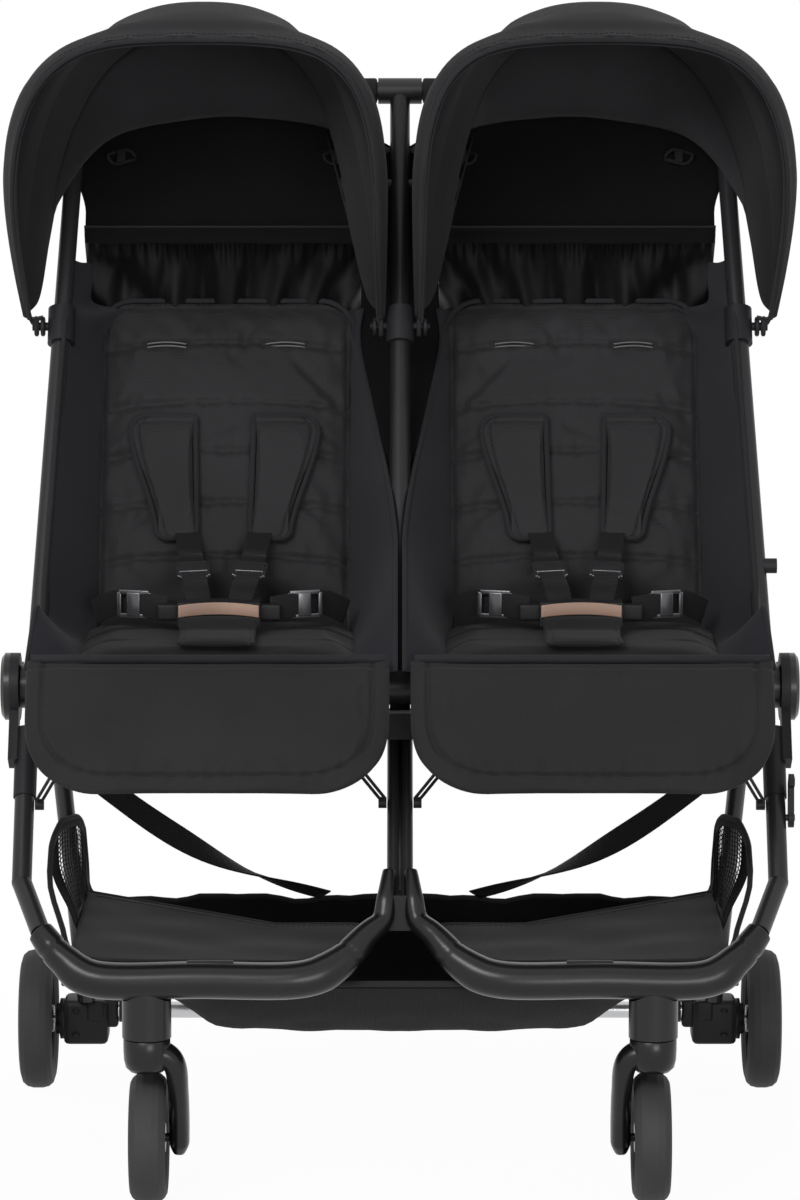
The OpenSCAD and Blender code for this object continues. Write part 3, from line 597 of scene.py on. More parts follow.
def hood_path(deg, inset=0.0, low=0.0, high=1.0, steps=80):
    """Points along a bow: deg is a number, or the angle as a function of the share."""
    path = []
    for share in np.linspace(low, high, steps + 1):
        angle = deg(share) if callable(deg) else deg
        path.append(hood_point(angle, *hood_at(share, angle, inset)))
    return path


hood, hood_area = cut_cloth("hood", hood_place, 121, hood_rows(), HOODING, 1.4, 1.0)
hood_cut = (length_of(hood_path(hem_deg)), 0.308 * math.radians(FRONT_DEG - SKIRT_DEG) + 0.05)
for obj, side in pair(hood, "canopy_cloth"):
    ends = []
    for deg in (REAR_DEG, FRONT_DEG):
        t = math.radians(deg)
        ends.append((SIGN[side] * HOOD_X * MM, (HOOD[0] + HOOD_MEAN * math.cos(t)) * MM,
                     (HOOD[1] + HOOD_MEAN * math.sin(t)) * MM))
    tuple(ends[0])
    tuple(ends[1])
    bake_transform(obj)
    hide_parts("canopy_rear_" + side)


EYE = [(4.3, -2), (8.2, -2), (9.4, -1), (9.4, 1), (8.2, 2), (4.3, 2)]
EYE_OUT, BOW_START = 2, 9
BOW_W, BOW_T = 9.0, 2.4


def bow(deg, inset, boss):
    """A flat plastic bow under the cloth, with an eye round each hood pin."""
    bits = Bits()
    t = math.radians(deg(0.0) if callable(deg) else deg)
    across = (0.0, -math.sin(t), math.cos(t))
    section = [(s * BOW_T, u * BOW_W) for s, u in
               ((-0.5, -0.3), (-0.3, -0.5), (0.3, -0.5), (0.5, -0.3),
                (0.5, 0.3), (0.3, 0.5), (-0.3, 0.5), (-0.5, 0.3))]
    eyes = [HOOD_X + side * (boss + EYE_OUT) for side in (1, -1)]
    starts = [(x, HOOD[0] + BOW_START * math.cos(t), HOOD[1] + BOW_START * math.sin(t)) for x in eyes]
    path = smooth_path([starts[0], *hood_path(deg, inset)[::4], starts[1]], 4)
    bits.add(*sweep_parts(path, section, up=across))
    for x in eyes:
        bits.add(*turning(EYE, (x, *HOOD), 28, axis=0, closed=True))
    return bits


middle_bow = bow(106.5, 4.5, 155).done("bow", MATT)
for obj, side in pair(middle_bow, "canopy_bow"):
    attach(obj, "hood_mid_" + side)
    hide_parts("canopy_mid_" + side)
visor = bow(lambda share: hem_deg(share) - 1.4, 4.0, 161)
visor.tube(hood_path(hem_deg, -0.2), 2.2)
for row in (0.945, 0.985):
    visor.stitches([hood_place(share, row, 1.6) for share in np.linspace(0.1, 0.9, 240)])
front_bow = visor.done("visor", PIPING)
for obj, side in pair(front_bow, "canopy_visor"):
    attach(obj, "hood_front_" + side)
    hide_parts("canopy_front_" + side)


# Cloth behind the heads
PANEL_FROM, PANEL_TO, PANEL_OUT = 458.0, 560.0, -10.9
PANEL_ARCH, FLAP_BOW = 37.0, 13.0


def panel_edges(v):
    """Inner and outer edge of the panel: it widens to the tubes at its top."""
    rise = blend_rise((v - 0.3) / 0.5)
    return 30.0 - 22.0 * rise, 301.0 + 11.0 * rise


def panel_place(u, v):
    low, high = panel_edges(v)
    d = PANEL_FROM + (PANEL_TO + PANEL_ARCH * math.sin(math.pi * u) ** 0.8 - PANEL_FROM) * v
    sag = 5.0 * math.sin(math.pi * u) * math.sin(math.pi * v) + 0.8 * math.sin(23 * u + 5 * v)
    return on_tube(d, PANEL_OUT - sag, low + (high - low) * u)


panel, panel_area = cut_cloth("panel", panel_place, 49, 17, LINING, 1.6)


def flap_place(u, v):
    """The canopy's rear wall, from its rear edge down to the panel's top edge."""
    share = 1.0 - u
    edge = rear_deg(share) + 0.9
    top = np.array(hood_point(edge, *hood_at(share, edge, 0.2)))
    low = np.array(panel_place(u, 1.0)) + np.array((0.0, -2.4, -3.0))
    p = low + (top - low) * v
    p[1] -= FLAP_BOW * math.sin(math.pi * v ** 0.7) * (0.5 + 0.5 * math.sin(math.pi * u) ** 0.3)
    return tuple(p)


flap, flap_area = cut_cloth("flap", flap_place, 61, 15, ROOF_PAINTED_LIGHT, 1.2)


def gather_place(u, v):
    """Loose folds that run from behind the seat's top edge up to a tight elastic edge."""
    low = np.array(back_plane((0.0, BACK_LEN - 20, -15.5)))
    high = np.array(on_tube(PANEL_FROM + 16, PANEL_OUT + 5.0, 0.0))
    p = low + (high - low) * v
    way = high - low
    out = np.array((0.0, -way[2], way[1])) / np.linalg.norm(way)
    fan = 9.0 * (1 - v) * (2 * u - 1)
    fold = (10.0 * math.sin(24 * u + 3.0 * math.sin(4 * u) + fan)
            + 4.5 * math.sin(51 * u - 0.6 * fan + 1.5 * v) + 2.0 * math.sin(83 * u + 4.0 * v))
    loose = math.sin(math.pi * min(1.0, v + 0.2)) * (1 - 0.35 * v)
    drawn = blend_rise((v - 0.5) / 0.3) * (1 - blend_rise((v - 0.84) / 0.1))
    tight = 1.6 * drawn * math.sin(170 * u + 3.0 * math.sin(11 * u))
    hem = 1.4 * max(0.0, 1 - abs(v - 0.86) / 0.025)
    p = p + out * (0.75 * fold * loose + tight - 6.0 * math.sin(math.pi * v) - hem)
    half = 131.0 + 2.0 * blend_rise(v)
    return SEAT_X + 2.0 + half * (2 * u - 1), p[1], p[2]


gather, gather_area = cut_cloth("gather", gather_place, 241, 41, GATHER_PAINTED_SHADE, 1.0)
loops = Bits()
for x in (60.0, 268.0):
    tie = [on_tube(PANEL_TO - 12 + 7 * math.sin(a), PANEL_OUT + 4.5 + 2.5 * math.cos(3 * a),
                   x + 13 * math.cos(a)) for a in np.linspace(0, 2 * math.pi, 25)[:-1]]
    loops.tube(tie, 1.6, closed=True)
    loops.rounded_box((x - 4, PANEL_TO - 18, PANEL_OUT + 2), (x + 4, PANEL_TO - 6, PANEL_OUT + 8),
                      handle_plane, 1.5)
for obj, side in pair(loops.done("loops", BELT), "panel_loops"):
    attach(obj, "handle")
for obj, side in pair(flap, "canopy_wall"):
    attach(obj, "handle")
    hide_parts("back_cloths")
for obj, side in pair(panel, "back_panel"):
    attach(obj, "handle")
    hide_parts("back_cloths")
for obj, side in pair(gather, "back_gather"):
    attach(obj, "handle")
    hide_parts("back_cloths")


# Side wings: slack cloth from each seat's side edges up to a free front edge
WING_HALF, WING_Z = 118, 471


def wing_edges(outer):
    """The edge along the seat and backrest, and the free one in front of the tubes."""
    side = 1 if outer else -1
    near = [(SEAT_X + side * (WING_HALF - 1), SEAT_FRONT + 5, WING_Z),
            (SEAT_X + side * WING_HALF, -90, WING_Z), (SEAT_X + side * WING_HALF, 30, WING_Z)]
    for d in (50, 110, 170, 230, 290, 318):
        half = WING_HALF - 1 - d * 0.012 - 12 * (d > 300)
        near.append(back_plane((SEAT_X + side * half, d, -4.0)))
    if outer:
        far = [(338, -160, 474), (331, -122, 526)]
        for d in (60, 110, 170, 230, 290, 340, 365):
            far.append(on_tube(d, 13.0, tube_x(d) - 4))
        for d, v in ((392, 0.22), (418, 0.42), (440, 0.6)):
            near.append(gather_place(0.985, v))
            far.append(on_tube(d, 4.0 - 0.3 * (d - 392), tube_x(d) - 4))
    else:
        far = [(4, -162, 474), (4, -116, 526), (4, -62, 560), (4.5, -22, 584), (12, 38, 628),
               (20, 78, 658), (29, 124, 693), (37, 166, 724), (40, 190, 746), (36.5, 203, 770)]
        near.append(gather_place(0.035, 0.16))
    return smooth_path(near, 6), smooth_path(far, 6)


def wing(outer):
    near, far = wing_edges(outer)
    n = len(near) - 1

    def place(u, v):
        k = u * n
        i = min(int(k), n - 1)
        a = near[i] + (near[i + 1] - near[i]) * (k - i)
        b = far[i] + (far[i + 1] - far[i]) * (k - i)
        p = a + (b - a) * v
        slack = math.sin(math.pi * v) * (5.0 + 3.0 * math.sin(9 * u + 2) + 1.8 * math.sin(31 * u + 4 * v))
        return p[0], p[1] + 0.7 * slack, p[2] - 0.5 * slack

    return *cut_cloth("wing", place, 65, 15, WINGS, 1.8), [place(u, 1.0) for u in np.linspace(0, 1, 90)]


for outer, base in ((True, "outer_wing"), (False, "inner_wing")):
    sheet, flat, edge = wing(outer)
    for obj, side in pair(sheet, base):
        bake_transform(obj)
        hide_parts("side_wings")
    bound = Bits()
    bound.tube(edge, 2.0)
    for obj, side in pair(bound.done("bound", PIPING), base + "_binding"):
        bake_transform(obj)


# Cloth between the two seats, behind the middle handle tube
MIDDLE = smooth_path([(12, 46, 612), (14, 60, 640), (19, 80, 658), (29, 126, 693), (38, 168, 724),
                      (41, 192, 746), (38, 205, 770), (37, 199, 800), (36, 184, 832), (34, 178.5, 846),
                      (33, 198, 880), (33, 214, 908)], 5)


def middle_place(u, v):
    x, y, z = MIDDLE[round(v * (len(MIDDLE) - 1))]
    slack = 3.0 * (1 - u * u) * math.sin(math.pi * v) + 0.8 * math.sin(7 * u + 19 * v)
    return x * u, y + slack, z


middle, middle_area = cut_cloth("center_cloth", middle_place, np.linspace(-1, 1, 25), len(MIDDLE), LINING,
                                1.4)
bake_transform(middle)


# Footrests: smooth bars that sweep from the front legs to the middle link
FOOT_PATH = [(321, STEM_Y + 18, 249), (300, STEM_Y + 1, 228), (268, STEM_Y - 6, 211), (180, STEM_Y - 6, 211),
             (92, STEM_Y - 6, 211), (55, STEM_Y + 3, 224), (30, STEM_Y + 18, 247), (16, STEM_Y + 29, 258),
             (12.5, STEM_Y + 36, 276), (9.5, STEM_Y + 52, 298)]
FOOT_R = (11.5, 14.0, 18.6, 19.0, 18.6, 15.0, 11.0, 9.5, 8.6, 6.0)
FOOT_STEPS, FOOT_HIGH, FOOT_SEAMS = 14, 16.5, (9, 75)
foot_line = smooth_path(FOOT_PATH, FOOT_STEPS)
foot_size = []
for k in range(len(foot_line)):
    r = float(np.interp(k / FOOT_STEPS, range(len(FOOT_R)), FOOT_R))
    seam = sum(0.9 * math.exp(-((k - at) / 0.7) ** 2) for at in FOOT_SEAMS)
    foot_size.append((r - seam, min(r, FOOT_HIGH) - seam))
bar = Bits()
bar.add(*loft(foot_line, foot_size, (0.0, 0.0, 1.0), 28, 2.2))
for obj, side in pair(bar.done("bar", GLOSS), "footrest"):
    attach(obj, "front_frame")
    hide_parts("footrests")
recess = Bits()
recess.rounded_box((148, STEM_Y - 9, 224.5), (190, STEM_Y - 1, 228.3), None, 1.6)
for obj, side in pair(recess.done("recess", MATT), "footrest_recess"):
    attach(obj, "front_frame")


# A web between the two middle legs, and a stop between the cheeks above them
web = Bits()
web.tube([(0.0, -209.0, 280.0), (0.0, -70.6, 398.0)], 2.6, 10)
web.rounded_box((-9.5, -58.0, 406.0), (9.5, -47.0, 427.0), None, 1.5)
web_piece = web.done("center_web", MATT)
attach(web_piece, "front_frame")


# Caster forks: a round crown under the housing and one curved arm on the inner side of the wheel
tyre_low, tyre_high = (np.array(c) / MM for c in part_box("front_tyre_right"))
WHEEL = (tyre_low + tyre_high) / 2
CROWN_Z = WHEEL[2] + 67.0
ARM_STEPS = 8
crown = Bits()
crown.add(*turning([(0.0, 31.4), (20.0, 31.4), (21.0, 30.2), (21.0, 20.0), (20.6, 12.0), (19.0, 5.0),
                    (15.0, 1.0), (0.0, 0.5)], (WHEEL[0], STEM_Y, CROWN_Z)))
arm = smooth_path([(WHEEL[0] - 2, STEM_Y, CROWN_Z + 16), (WHEEL[0] - 16, STEM_Y + 1, CROWN_Z + 15),
                   (WHEEL[0] - 25, STEM_Y + 4, CROWN_Z + 4), (WHEEL[0] - 27.3, STEM_Y + 12, CROWN_Z - 20),
                   (WHEEL[0] - 27.5, WHEEL[1] - 5, WHEEL[2] + 18), (WHEEL[0] - 27.3, WHEEL[1], WHEEL[2] - 4),
                   (WHEEL[0] - 27.0, WHEEL[1] + 1, WHEEL[2] - 14)], ARM_STEPS)
SPAN = [(13.0, 15.0), (11.5, 15.0), (10.0, 15.0), (9.2, 14.5), (9.4, 14.5), (9.2, 14.0), (5.0, 8.0)]
arm_size = [tuple(float(np.interp(k / ARM_STEPS, range(len(SPAN)), half)) for half in zip(*SPAN))
            for k in range(len(arm))]
crown.add(*loft(arm, arm_size, (0.0, 1.0, 0.0), 24, 2.4))
crown.add(*turning([(4.0, -18.0), (4.0, 14.5), (3.0, 15.0), (0.0, 15.0)], WHEEL, 24, axis=0))
for obj, side in pair(crown.done("fork", GLOSS), "caster_fork_shell"):
    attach(obj, "caster_" + side)
    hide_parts("caster_fork_" + side)


# Axle brackets: a bevelled box with a boss for the axle, a rib and two screws
IN, OUT = 277.0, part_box("axle_brackets")[1][0] / MM
rear_low, rear_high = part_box("rear_tyre_right")
REAR_Z = (rear_low[2] + rear_high[2]) / 2 / MM
bracket = Bits()
bracket.rounded_box((IN + 10, REAR_Y - 22, 46), (OUT - 8, REAR_Y + 21, 90), None, 6.0)
bracket.rounded_box((IN, REAR_Y - 16, 62), (IN + 16, REAR_Y + 16, 90.5), None, 4.0)
bracket.rounded_box((IN + 14, REAR_Y - 24, 70), (IN + 30, REAR_Y - 12, 90.5), None, 3.0)
bracket.add(*turning([(0.0, -10.0), (19.0, -10.0), (20.0, -9.0), (20.0, -4.0), (15.0, -3.0), (15.0, 0.0),
                      (6.0, 0.0)], (OUT, REAR_Y, REAR_Z), axis=0))
for z in (56.0, 80.0):
    screw = [(0.0, -1.0), (3.2, -1.0), (3.6, -0.4), (3.6, 2.0)]
    bracket.add(*turning(screw, (OUT - 20, REAR_Y - 22.2, z), 20))
for obj, side in pair(bracket.done("bracket", MATT), "axle_bracket"):
    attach(obj, "rear_frame")
    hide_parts("axle_brackets")


# Padded pieces: closed pillows, swelled like stuffed cloth, then sewn
def plane_matrix(y0, z0, angle, x=0.0):
    return Matrix.Translation((x * MM, y0 * MM, z0 * MM)) @ Matrix.Rotation(math.radians(angle), 4, "X")


BACK_AT = plane_matrix(CREASE[0], CREASE[1], BACK_SLOPE)
CALF_AT = plane_matrix(CALF_TOP[0], CALF_TOP[1], CALF_DIR)


def pillow(name, length, half, thick, material, centre=None, nx=40, ny=40, edge=0.12, power=4.0):
    """A pad from y 0 to length: half(y) is its half width, centre(y) its middle."""
    points, index = [], {}
    for face in (1, -1):
        for j in range(ny + 1):
            q = 2 * j / ny - 1
            y = length * (0.5 + 0.25 * (q + math.sin(0.5 * math.pi * q)))
            w, mid = half(y), centre(y) if centre else 0.0
            for i in range(nx + 1):
                s = 0.5 * (2 * i / nx - 1) + 0.5 * math.sin(0.5 * math.pi * (2 * i / nx - 1))
                rim = i in (0, nx) or j in (0, ny)
                if rim and face < 0:
                    index[face, j, i] = index[1, j, i]
                    continue
                along = 2 * y / length - 1
                puff = max(0.0, (1 - abs(s) ** power) * (1 - abs(along) ** power)) ** 0.5
                z = 0.0 if rim else face * thick / 2 * (edge + (1 - edge) * puff)
                index[face, j, i] = len(points)
                points.append((mid + w * s, y, z))
    faces = []
    for j in range(ny):
        for i in range(nx):
            faces.append((index[1, j, i], index[1, j, i + 1], index[1, j + 1, i + 1], index[1, j + 1, i]))
            faces.append((index[-1, j, i], index[-1, j + 1, i], index[-1, j + 1, i + 1],
                          index[-1, j, i + 1]))
    return make(name, points, faces, material)


def coords(mesh):
    co = np.zeros(len(mesh.vertices) * 3, np.float32)
    mesh.vertices.foreach_get("co", co)
    return co.reshape(-1, 3).astype(float)


def put(mesh, co):
    mesh.vertices.foreach_set("co", co.astype(np.float32).ravel())
    mesh.update()


PRESSURE, FRAMES = 4.0, 20


def swell(obj, cap):
    """Cloth filled under pressure; no point moves further than cap."""
    mesh = obj.data
    rest = coords(mesh)
    c = obj.modifiers.new("cloth", "CLOTH")
    c.settings.quality = 6
    c.settings.mass = 0.3
    c.settings.use_pressure = True
    c.settings.uniform_pressure_force = PRESSURE
    c.settings.effector_weights.gravity = 0
    c.settings.tension_stiffness = 18
    c.settings.compression_stiffness = 10
    c.settings.bending_stiffness = 0.4
    c.point_cache.frame_start, c.point_cache.frame_end = 1, FRAMES
    for f in range(1, FRAMES + 1):
        scene.frame_set(f)
    deps = bpy.context.evaluated_depsgraph_get()
    moved = coords(obj.evaluated_get(deps).data)
    step = moved - rest
    far = np.linalg.norm(step, axis=1)[:, None]
    step *= np.minimum(1.0, cap * MM / np.maximum(far, 1e-9))
    obj.modifiers.clear()
    scene.frame_set(1)
    put(mesh, rest + step)


def finer(obj, levels):
    """Applied subdivision, so that seams can be drawn in."""
    m = obj.modifiers.new("finer", "SUBSURF")
    m.levels = m.render_levels = levels
    deps = bpy.context.evaluated_depsgraph_get()
    material = obj.data.materials[0]
    mesh = bpy.data.meshes.new_from_object(obj.evaluated_get(deps))
    obj.modifiers.clear()
    obj.data = mesh
    mesh.materials.clear()
    mesh.materials.append(material)
    mesh.polygons.foreach_set("use_smooth", [True] * len(mesh.polygons))


def draw_in(obj, depth_at):
    """Moves points along the pad's own thickness by depth_at(x, y, z) millimetres."""
    co = coords(obj.data) / MM
    for p in co:
        p[2] += depth_at(*p)
    put(obj.data, co * MM)


def stuffed(obj, cap, levels, form):
    """Fills a pad, then sews its seams and folds in."""
    swell(obj, cap)
    finer(obj, levels)
    draw_in(obj, form)


def groove(distance, depth, width):
    return -depth * math.exp(-(distance / width) ** 2)


def ruffle(x, y, seed):
    """Slow uneven waves of slack cloth."""
    return (math.sin(0.031 * x + 0.052 * y + seed) * math.sin(0.021 * y - 0.043 * x + 2.1 * seed)
            + 0.5 * math.sin(0.083 * x - 0.061 * y + 1.3 * seed))


def settle(obj, matrix, x, y, z):
    """Moves a pad by millimetres in its own plane, and that plane into place."""
    obj.data.transform(matrix @ Matrix.Translation((x * MM, y * MM, z * MM)))
    obj.data.update()


def corner_half(half, length, r_low, r_high):
    """Half width with rounded corners at both ends."""
    def f(y):
        w = half
        if y < r_low:
            w -= r_low - math.sqrt(max(0.0, r_low ** 2 - (r_low - y) ** 2))
        if y > length - r_high:
            w -= r_high - math.sqrt(max(0.0, r_high ** 2 - (y - length + r_high) ** 2))
        return w
    return f


# Seat cushions
seat_len = CREASE[0] - 13 - SEAT_FRONT
seat = pillow("seat", seat_len, corner_half(SEAT_HALF - 1, seat_len, 16, 8), SEAT_T - 6, SEAT_PAINTED_SHADE)
SEAT_ROWS = [0.33 * seat_len, 0.66 * seat_len]


def seat_form(x, y, z):
    if z < 0:
        return 0.5 * max(0.0, -z - 15.5)
    d = sum(groove(y - row, 2.6, 4.0) for row in SEAT_ROWS)
    d += 0.5 * ruffle(x, y, 1.0)
    over = max(0.0, z + d - 16.6)
    return d - over


stuffed(seat, 5.0, 1, seat_form)
settle(seat, Matrix.Identity(4), SEAT_X, SEAT_FRONT, SEAT_Z - SEAT_T / 2)
for obj, side in pair(seat, "seat_cushion"):
    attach(obj, "front_frame")
    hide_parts("seat_bases")


# Cloth that joins each seat to its backrest, in front of the hinge rod
CREASE_PATH = smooth_path([(0, 42, 470), (0, 53, 476), (0, 58.5, 485), (0, 64, 494), (0, 71, 503),
                           (0, 77, 512)], 4)


def crease_place(u, v):
    y, z = CREASE_PATH[round(v * (len(CREASE_PATH) - 1))][1:]
    half = 133.0 - 9.0 * blend_rise((v - 0.55) / 0.4)
    return SEAT_X + half * (2 * u - 1), y + 0.5 * math.sin(40 * u), z


joint, joint_area = cut_cloth("joint", crease_place, 49, len(CREASE_PATH), SEAT_PAINTED_SHADE, 1.6)
for obj, side in pair(joint, "seat_crease"):
    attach(obj, "front_frame")


# Backrests: quilted across, with two strap slits under the top edge
back_low, BACK_ROUND = 10.0, 36
back_span = BACK_LEN - back_low
back = pillow("back", back_span, corner_half(BACK_HALF - 0.5, back_span, 6, BACK_ROUND), BACK_T - 7, PAD,
              nx=44, ny=52)
QUILT = [275.0, 214.0, 164.0, 112.0, 58.0]
SLIT_X, SLIT_HALF, SLIT_D = 57.0, 19.0, 275.0
# Folds in the cloth: from x, y to x, y, and how deep
CREASES = [(-118, 205, -62, 262, 3.2), (-120, 168, -70, 196, 2.4), (112, 196, 74, 232, 2.8),
           (120, 150, 78, 176, 2.6), (-30, 300, -8, 262, 2.2), (26, 304, 44, 268, 2.0),
           (-96, 96, -58, 120, 2.4), (92, 84, 60, 118, 2.2), (-14, 196, 20, 182, 1.8),
           (-44, 40, -20, 70, 2.0), (38, 36, 22, 66, 2.0), (-104, 288, -84, 246, 1.8)]


def crease(x, y, line, width=5.5):
    """A soft fold along a short line, deepest in its middle."""
    x0, y0, x1, y1, depth = line
    dx, dy = x1 - x0, y1 - y0
    long = math.hypot(dx, dy)
    s = ((x - x0) * dx + (y - y0) * dy) / long ** 2
    if s < -0.1 or s > 1.1:
        return 0.0
    off = ((x - x0) * dy - (y - y0) * dx) / long
    hold = max(0.0, 1 - (2 * s - 1) ** 2 / 1.44)
    return hold * (groove(off, depth, width) - 0.55 * groove(off - 1.9 * width, depth, 1.2 * width))


def back_form(x, y, z):
    if z < 0:
        return 0.0
    d = y + back_low
    deep = 0.0
    for k, row in enumerate(QUILT):
        bowed = row + 7.0 * math.cos(x * 0.0125) - 4.0
        deep += groove(d - bowed, 4.2, 4.0)
        near = math.exp(-((d - bowed) / 15) ** 2)
        deep += 0.9 * near * math.sin(0.34 * x + 1.7 * k + 2.0 * math.sin(0.05 * x))
    for side in (-1, 1):
        if abs(x - side * SLIT_X) < SLIT_HALF + 4:
            deep += groove(d - SLIT_D - 1.0, 2.5, 2.6)
    rim = BACK_HALF - abs(x)
    deep += groove(rim - 10, 2.2, 2.6) + groove(BACK_LEN - d - 12, 2.2, 2.6)
    deep += 1.4 * ruffle(x * 1.3, y, 2.0) + 0.8 * ruffle(2.3 * x, 2.9 * y, 5.0)
    deep += sum(crease(x, d, line) for line in CREASES)
    over = max(0.0, z + deep - 14.2)
    return deep - 0.8 * over


stuffed(back, 5.0, 2, back_form)
settle(back, BACK_AT, SEAT_X, back_low, 2)
for obj, side in pair(back, "backrest_pad"):
    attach(obj, "back_" + side)
    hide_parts("backrest_" + side)

trim = Bits()
edge_half = corner_half(BACK_HALF - 1.5, BACK_LEN, 2, BACK_ROUND)
edge_path = [(SEAT_X + edge_half(d), d, 2.0) for d in np.linspace(24, BACK_LEN - BACK_ROUND - 1, 30)]
edge_path += [(SEAT_X + BACK_HALF - 1.5 - BACK_ROUND + BACK_ROUND * math.cos(a),
               BACK_LEN - BACK_ROUND - 2 + BACK_ROUND * math.sin(a), 2.0)
              for a in np.linspace(0.08, math.pi / 2, 12)]
edge_path += [(2 * SEAT_X - x, y, z) for x, y, z in edge_path[-2::-1]]
trim.tube([back_plane(p) for p in edge_path], 2.6)
inset = [(SEAT_X + (x - SEAT_X) * 0.94, d - 7.5, 10.5) for x, d, z in edge_path]
trim.stitches([back_plane(p) for p in inset])
binding = trim.done("binding", PIPING)
for obj, side in pair(binding, "backrest_binding"):
    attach(obj, "back_" + side)

slits = Bits()
for side in (-1, 1):
    for lift in (0.0, 3.6):
        lip = [(SEAT_X + side * SLIT_X + SLIT_HALF * t, SLIT_D + 3.0 * math.cos(1.2 * t) + lift - 3, 12.9)
               for t in np.linspace(-1, 1, 13)]
        slits.tube([back_plane(p) for p in lip], 0.9, 6)
# Pale lips along the strap slits: a painted highlight on each slit's edge
slit = slits.done("slit", hard("slit_lip_painted_highlight", (0.11, 0.11, 0.11), 0.5, grain=1500.0, height=0.0001))
for obj, side in pair(slit, "strap_slits"):
    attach(obj, "back_" + side)


# Shoulder pads: wide at the top, narrow below, straight along the inner edge
PAD_X, PAD_LEN, PAD_FROM = 51.0, 126.0, 74.0
PAD_OUT = BACK_T / 2 + 8.4


def pad_outer(y):
    """Width of a pad, from its straight inner edge to its outer one."""
    full = 40.0 + 24.0 * blend_rise(y / PAD_LEN * 1.1)
    return corner_half(full, PAD_LEN, 10, 18)(y)


def pad_middle(y):
    return pad_outer(y) / 2 - 27.0 + 3.0 * y / PAD_LEN


shoulder = pillow("shoulder", PAD_LEN, lambda y: pad_outer(y) / 2 - 1.5, 9.0, PAD, pad_middle, nx=24,
                  ny=40)


def shoulder_form(x, y, z):
    if z < 0:
        return max(0.0, -z - 5.4)
    left = pad_middle(y) + pad_outer(y) / 2 - x
    d = groove(left - 7, 1.4, 2.4) + groove(PAD_LEN - y - 7, 1.2, 2.4)
    d += groove(y - 0.72 * PAD_LEN, 0.9, 2.6) + 0.35 * ruffle(3 * x, 2 * y, 3.0)
    return d - max(0.0, z + d - 5.8)


stuffed(shoulder, 2.5, 2, shoulder_form)
pads, pad_trim = [], Bits()
for side, piece in ((1, shoulder), (-1, flipped(shoulder, "shoulder_in"))):
    settle(piece, BACK_AT, SEAT_X + side * PAD_X, PAD_FROM, PAD_OUT)
    pads.append(piece)
    rim = [(pad_middle(y) + pad_outer(y) / 2 - 1.0, y) for y in np.linspace(0.6, PAD_LEN - 0.6, 44)]
    rim += [(pad_middle(y) - pad_outer(y) / 2 + 1.0, y) for y in np.linspace(PAD_LEN - 0.6, 0.6, 44)]
    place = [back_plane((SEAT_X + side * (PAD_X + x), PAD_FROM + y, PAD_OUT)) for x, y in rim]
    pad_trim.tube(place, 2.5, closed=True)
    inside = [back_plane((SEAT_X + side * (PAD_X + pad_middle(y) + pad_outer(y) / 2 - 9), PAD_FROM + y,
                          PAD_OUT + 4.6)) for y in np.linspace(8, PAD_LEN - 12, 30)]
    pad_trim.stitches(inside, 4.5, 3.0, 0.4)
for piece, base in zip(pads, ("shoulder_pad_outer", "shoulder_pad_inner")):
    for obj, side in pair(piece, base):
        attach(obj, "back_" + side)
        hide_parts("shoulder_pads_" + side)
for obj, side in pair(pad_trim.done("pad_trim", PIPING), "shoulder_piping"):
    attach(obj, "back_" + side)


# Calf rests: a wide pad with rounded lower corners and a sewn line above its lower edge
CALF_CORNER, CALF_DROP, CALF_POWER = 78.0, 84.0, 2.6
CALF_WIDE = CALF_HALF + 3.5


def calf_half(y):
    """Half width of the calf rest: straight sides and wide rounded lower corners."""
    t = max(0.0, y - CALF_LEN + CALF_DROP) / CALF_DROP
    return CALF_WIDE - CALF_CORNER * (1 - math.sqrt(max(0.0, 1 - t ** CALF_POWER)))


calf = pillow("calf", CALF_LEN, calf_half, CALF_T - 5, CALF, nx=52, ny=40, edge=0.2, power=6.0)


def calf_seam(x, y):
    """Distance from the sewn line, which runs inside the pad's outline."""
    out = max(0.0, abs(x) - (CALF_HALF - CALF_CORNER)) / (CALF_CORNER - 17)
    down = max(0.0, y - CALF_LEN + CALF_DROP) / (CALF_DROP - 19)
    return (math.sqrt(out ** 2 + down ** CALF_POWER) - 1) * 62


def calf_form(x, y, z):
    if z > 0:
        return -max(0.0, z - 8.5)
    off = calf_seam(x, y)
    deep = -groove(off, 3.4, 2.6) - groove(y - 10, 1.6, 2.4)
    pucker = math.sin(0.31 * x + 2.0 * math.sin(0.06 * x)) * (y > 30)
    deep -= 1.5 * math.exp(-((off + 8) / 15) ** 2) * pucker
    deep -= 1.9 * ruffle(0.8 * x, 1.6 * y, 4.0) * min(1.0, y / 40)
    return deep + 0.8 * max(0.0, -(z + deep) - 9.8)


stuffed(calf, 4.0, 2, calf_form)
settle(calf, CALF_AT, CALF_X, 0, 0)
for obj, side in pair(calf, "calf_pad"):
    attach(obj, "front_frame")
    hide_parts("leg_rest_" + side)

calf_trim = Bits()
brim = [(CALF_X + x, -0.6, -2.0) for x in np.linspace(-CALF_HALF + 5, CALF_HALF - 5, 40)]
calf_trim.tube([calf_plane(p) for p in brim], 3.6)
for obj, side in pair(calf_trim.done("calf_trim", PIPING), "calf_binding"):
    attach(obj, "front_frame")


# Crotch panel, buckle patch and harness webbing
BUCKLE_H = 22.0
crotch_from, crotch_to = SEAT_FRONT + 12, BUCKLE_Y - 3.5
crotch_long = crotch_to - crotch_from
CROTCH_RISE, CROTCH_RUN = 11.5, 26
crotch = pillow("crotch", crotch_long, corner_half(36.5, crotch_long, 8, 5), 6.0, SEAT_PAINTED_SHADE, nx=24, ny=26,
                edge=0.3)


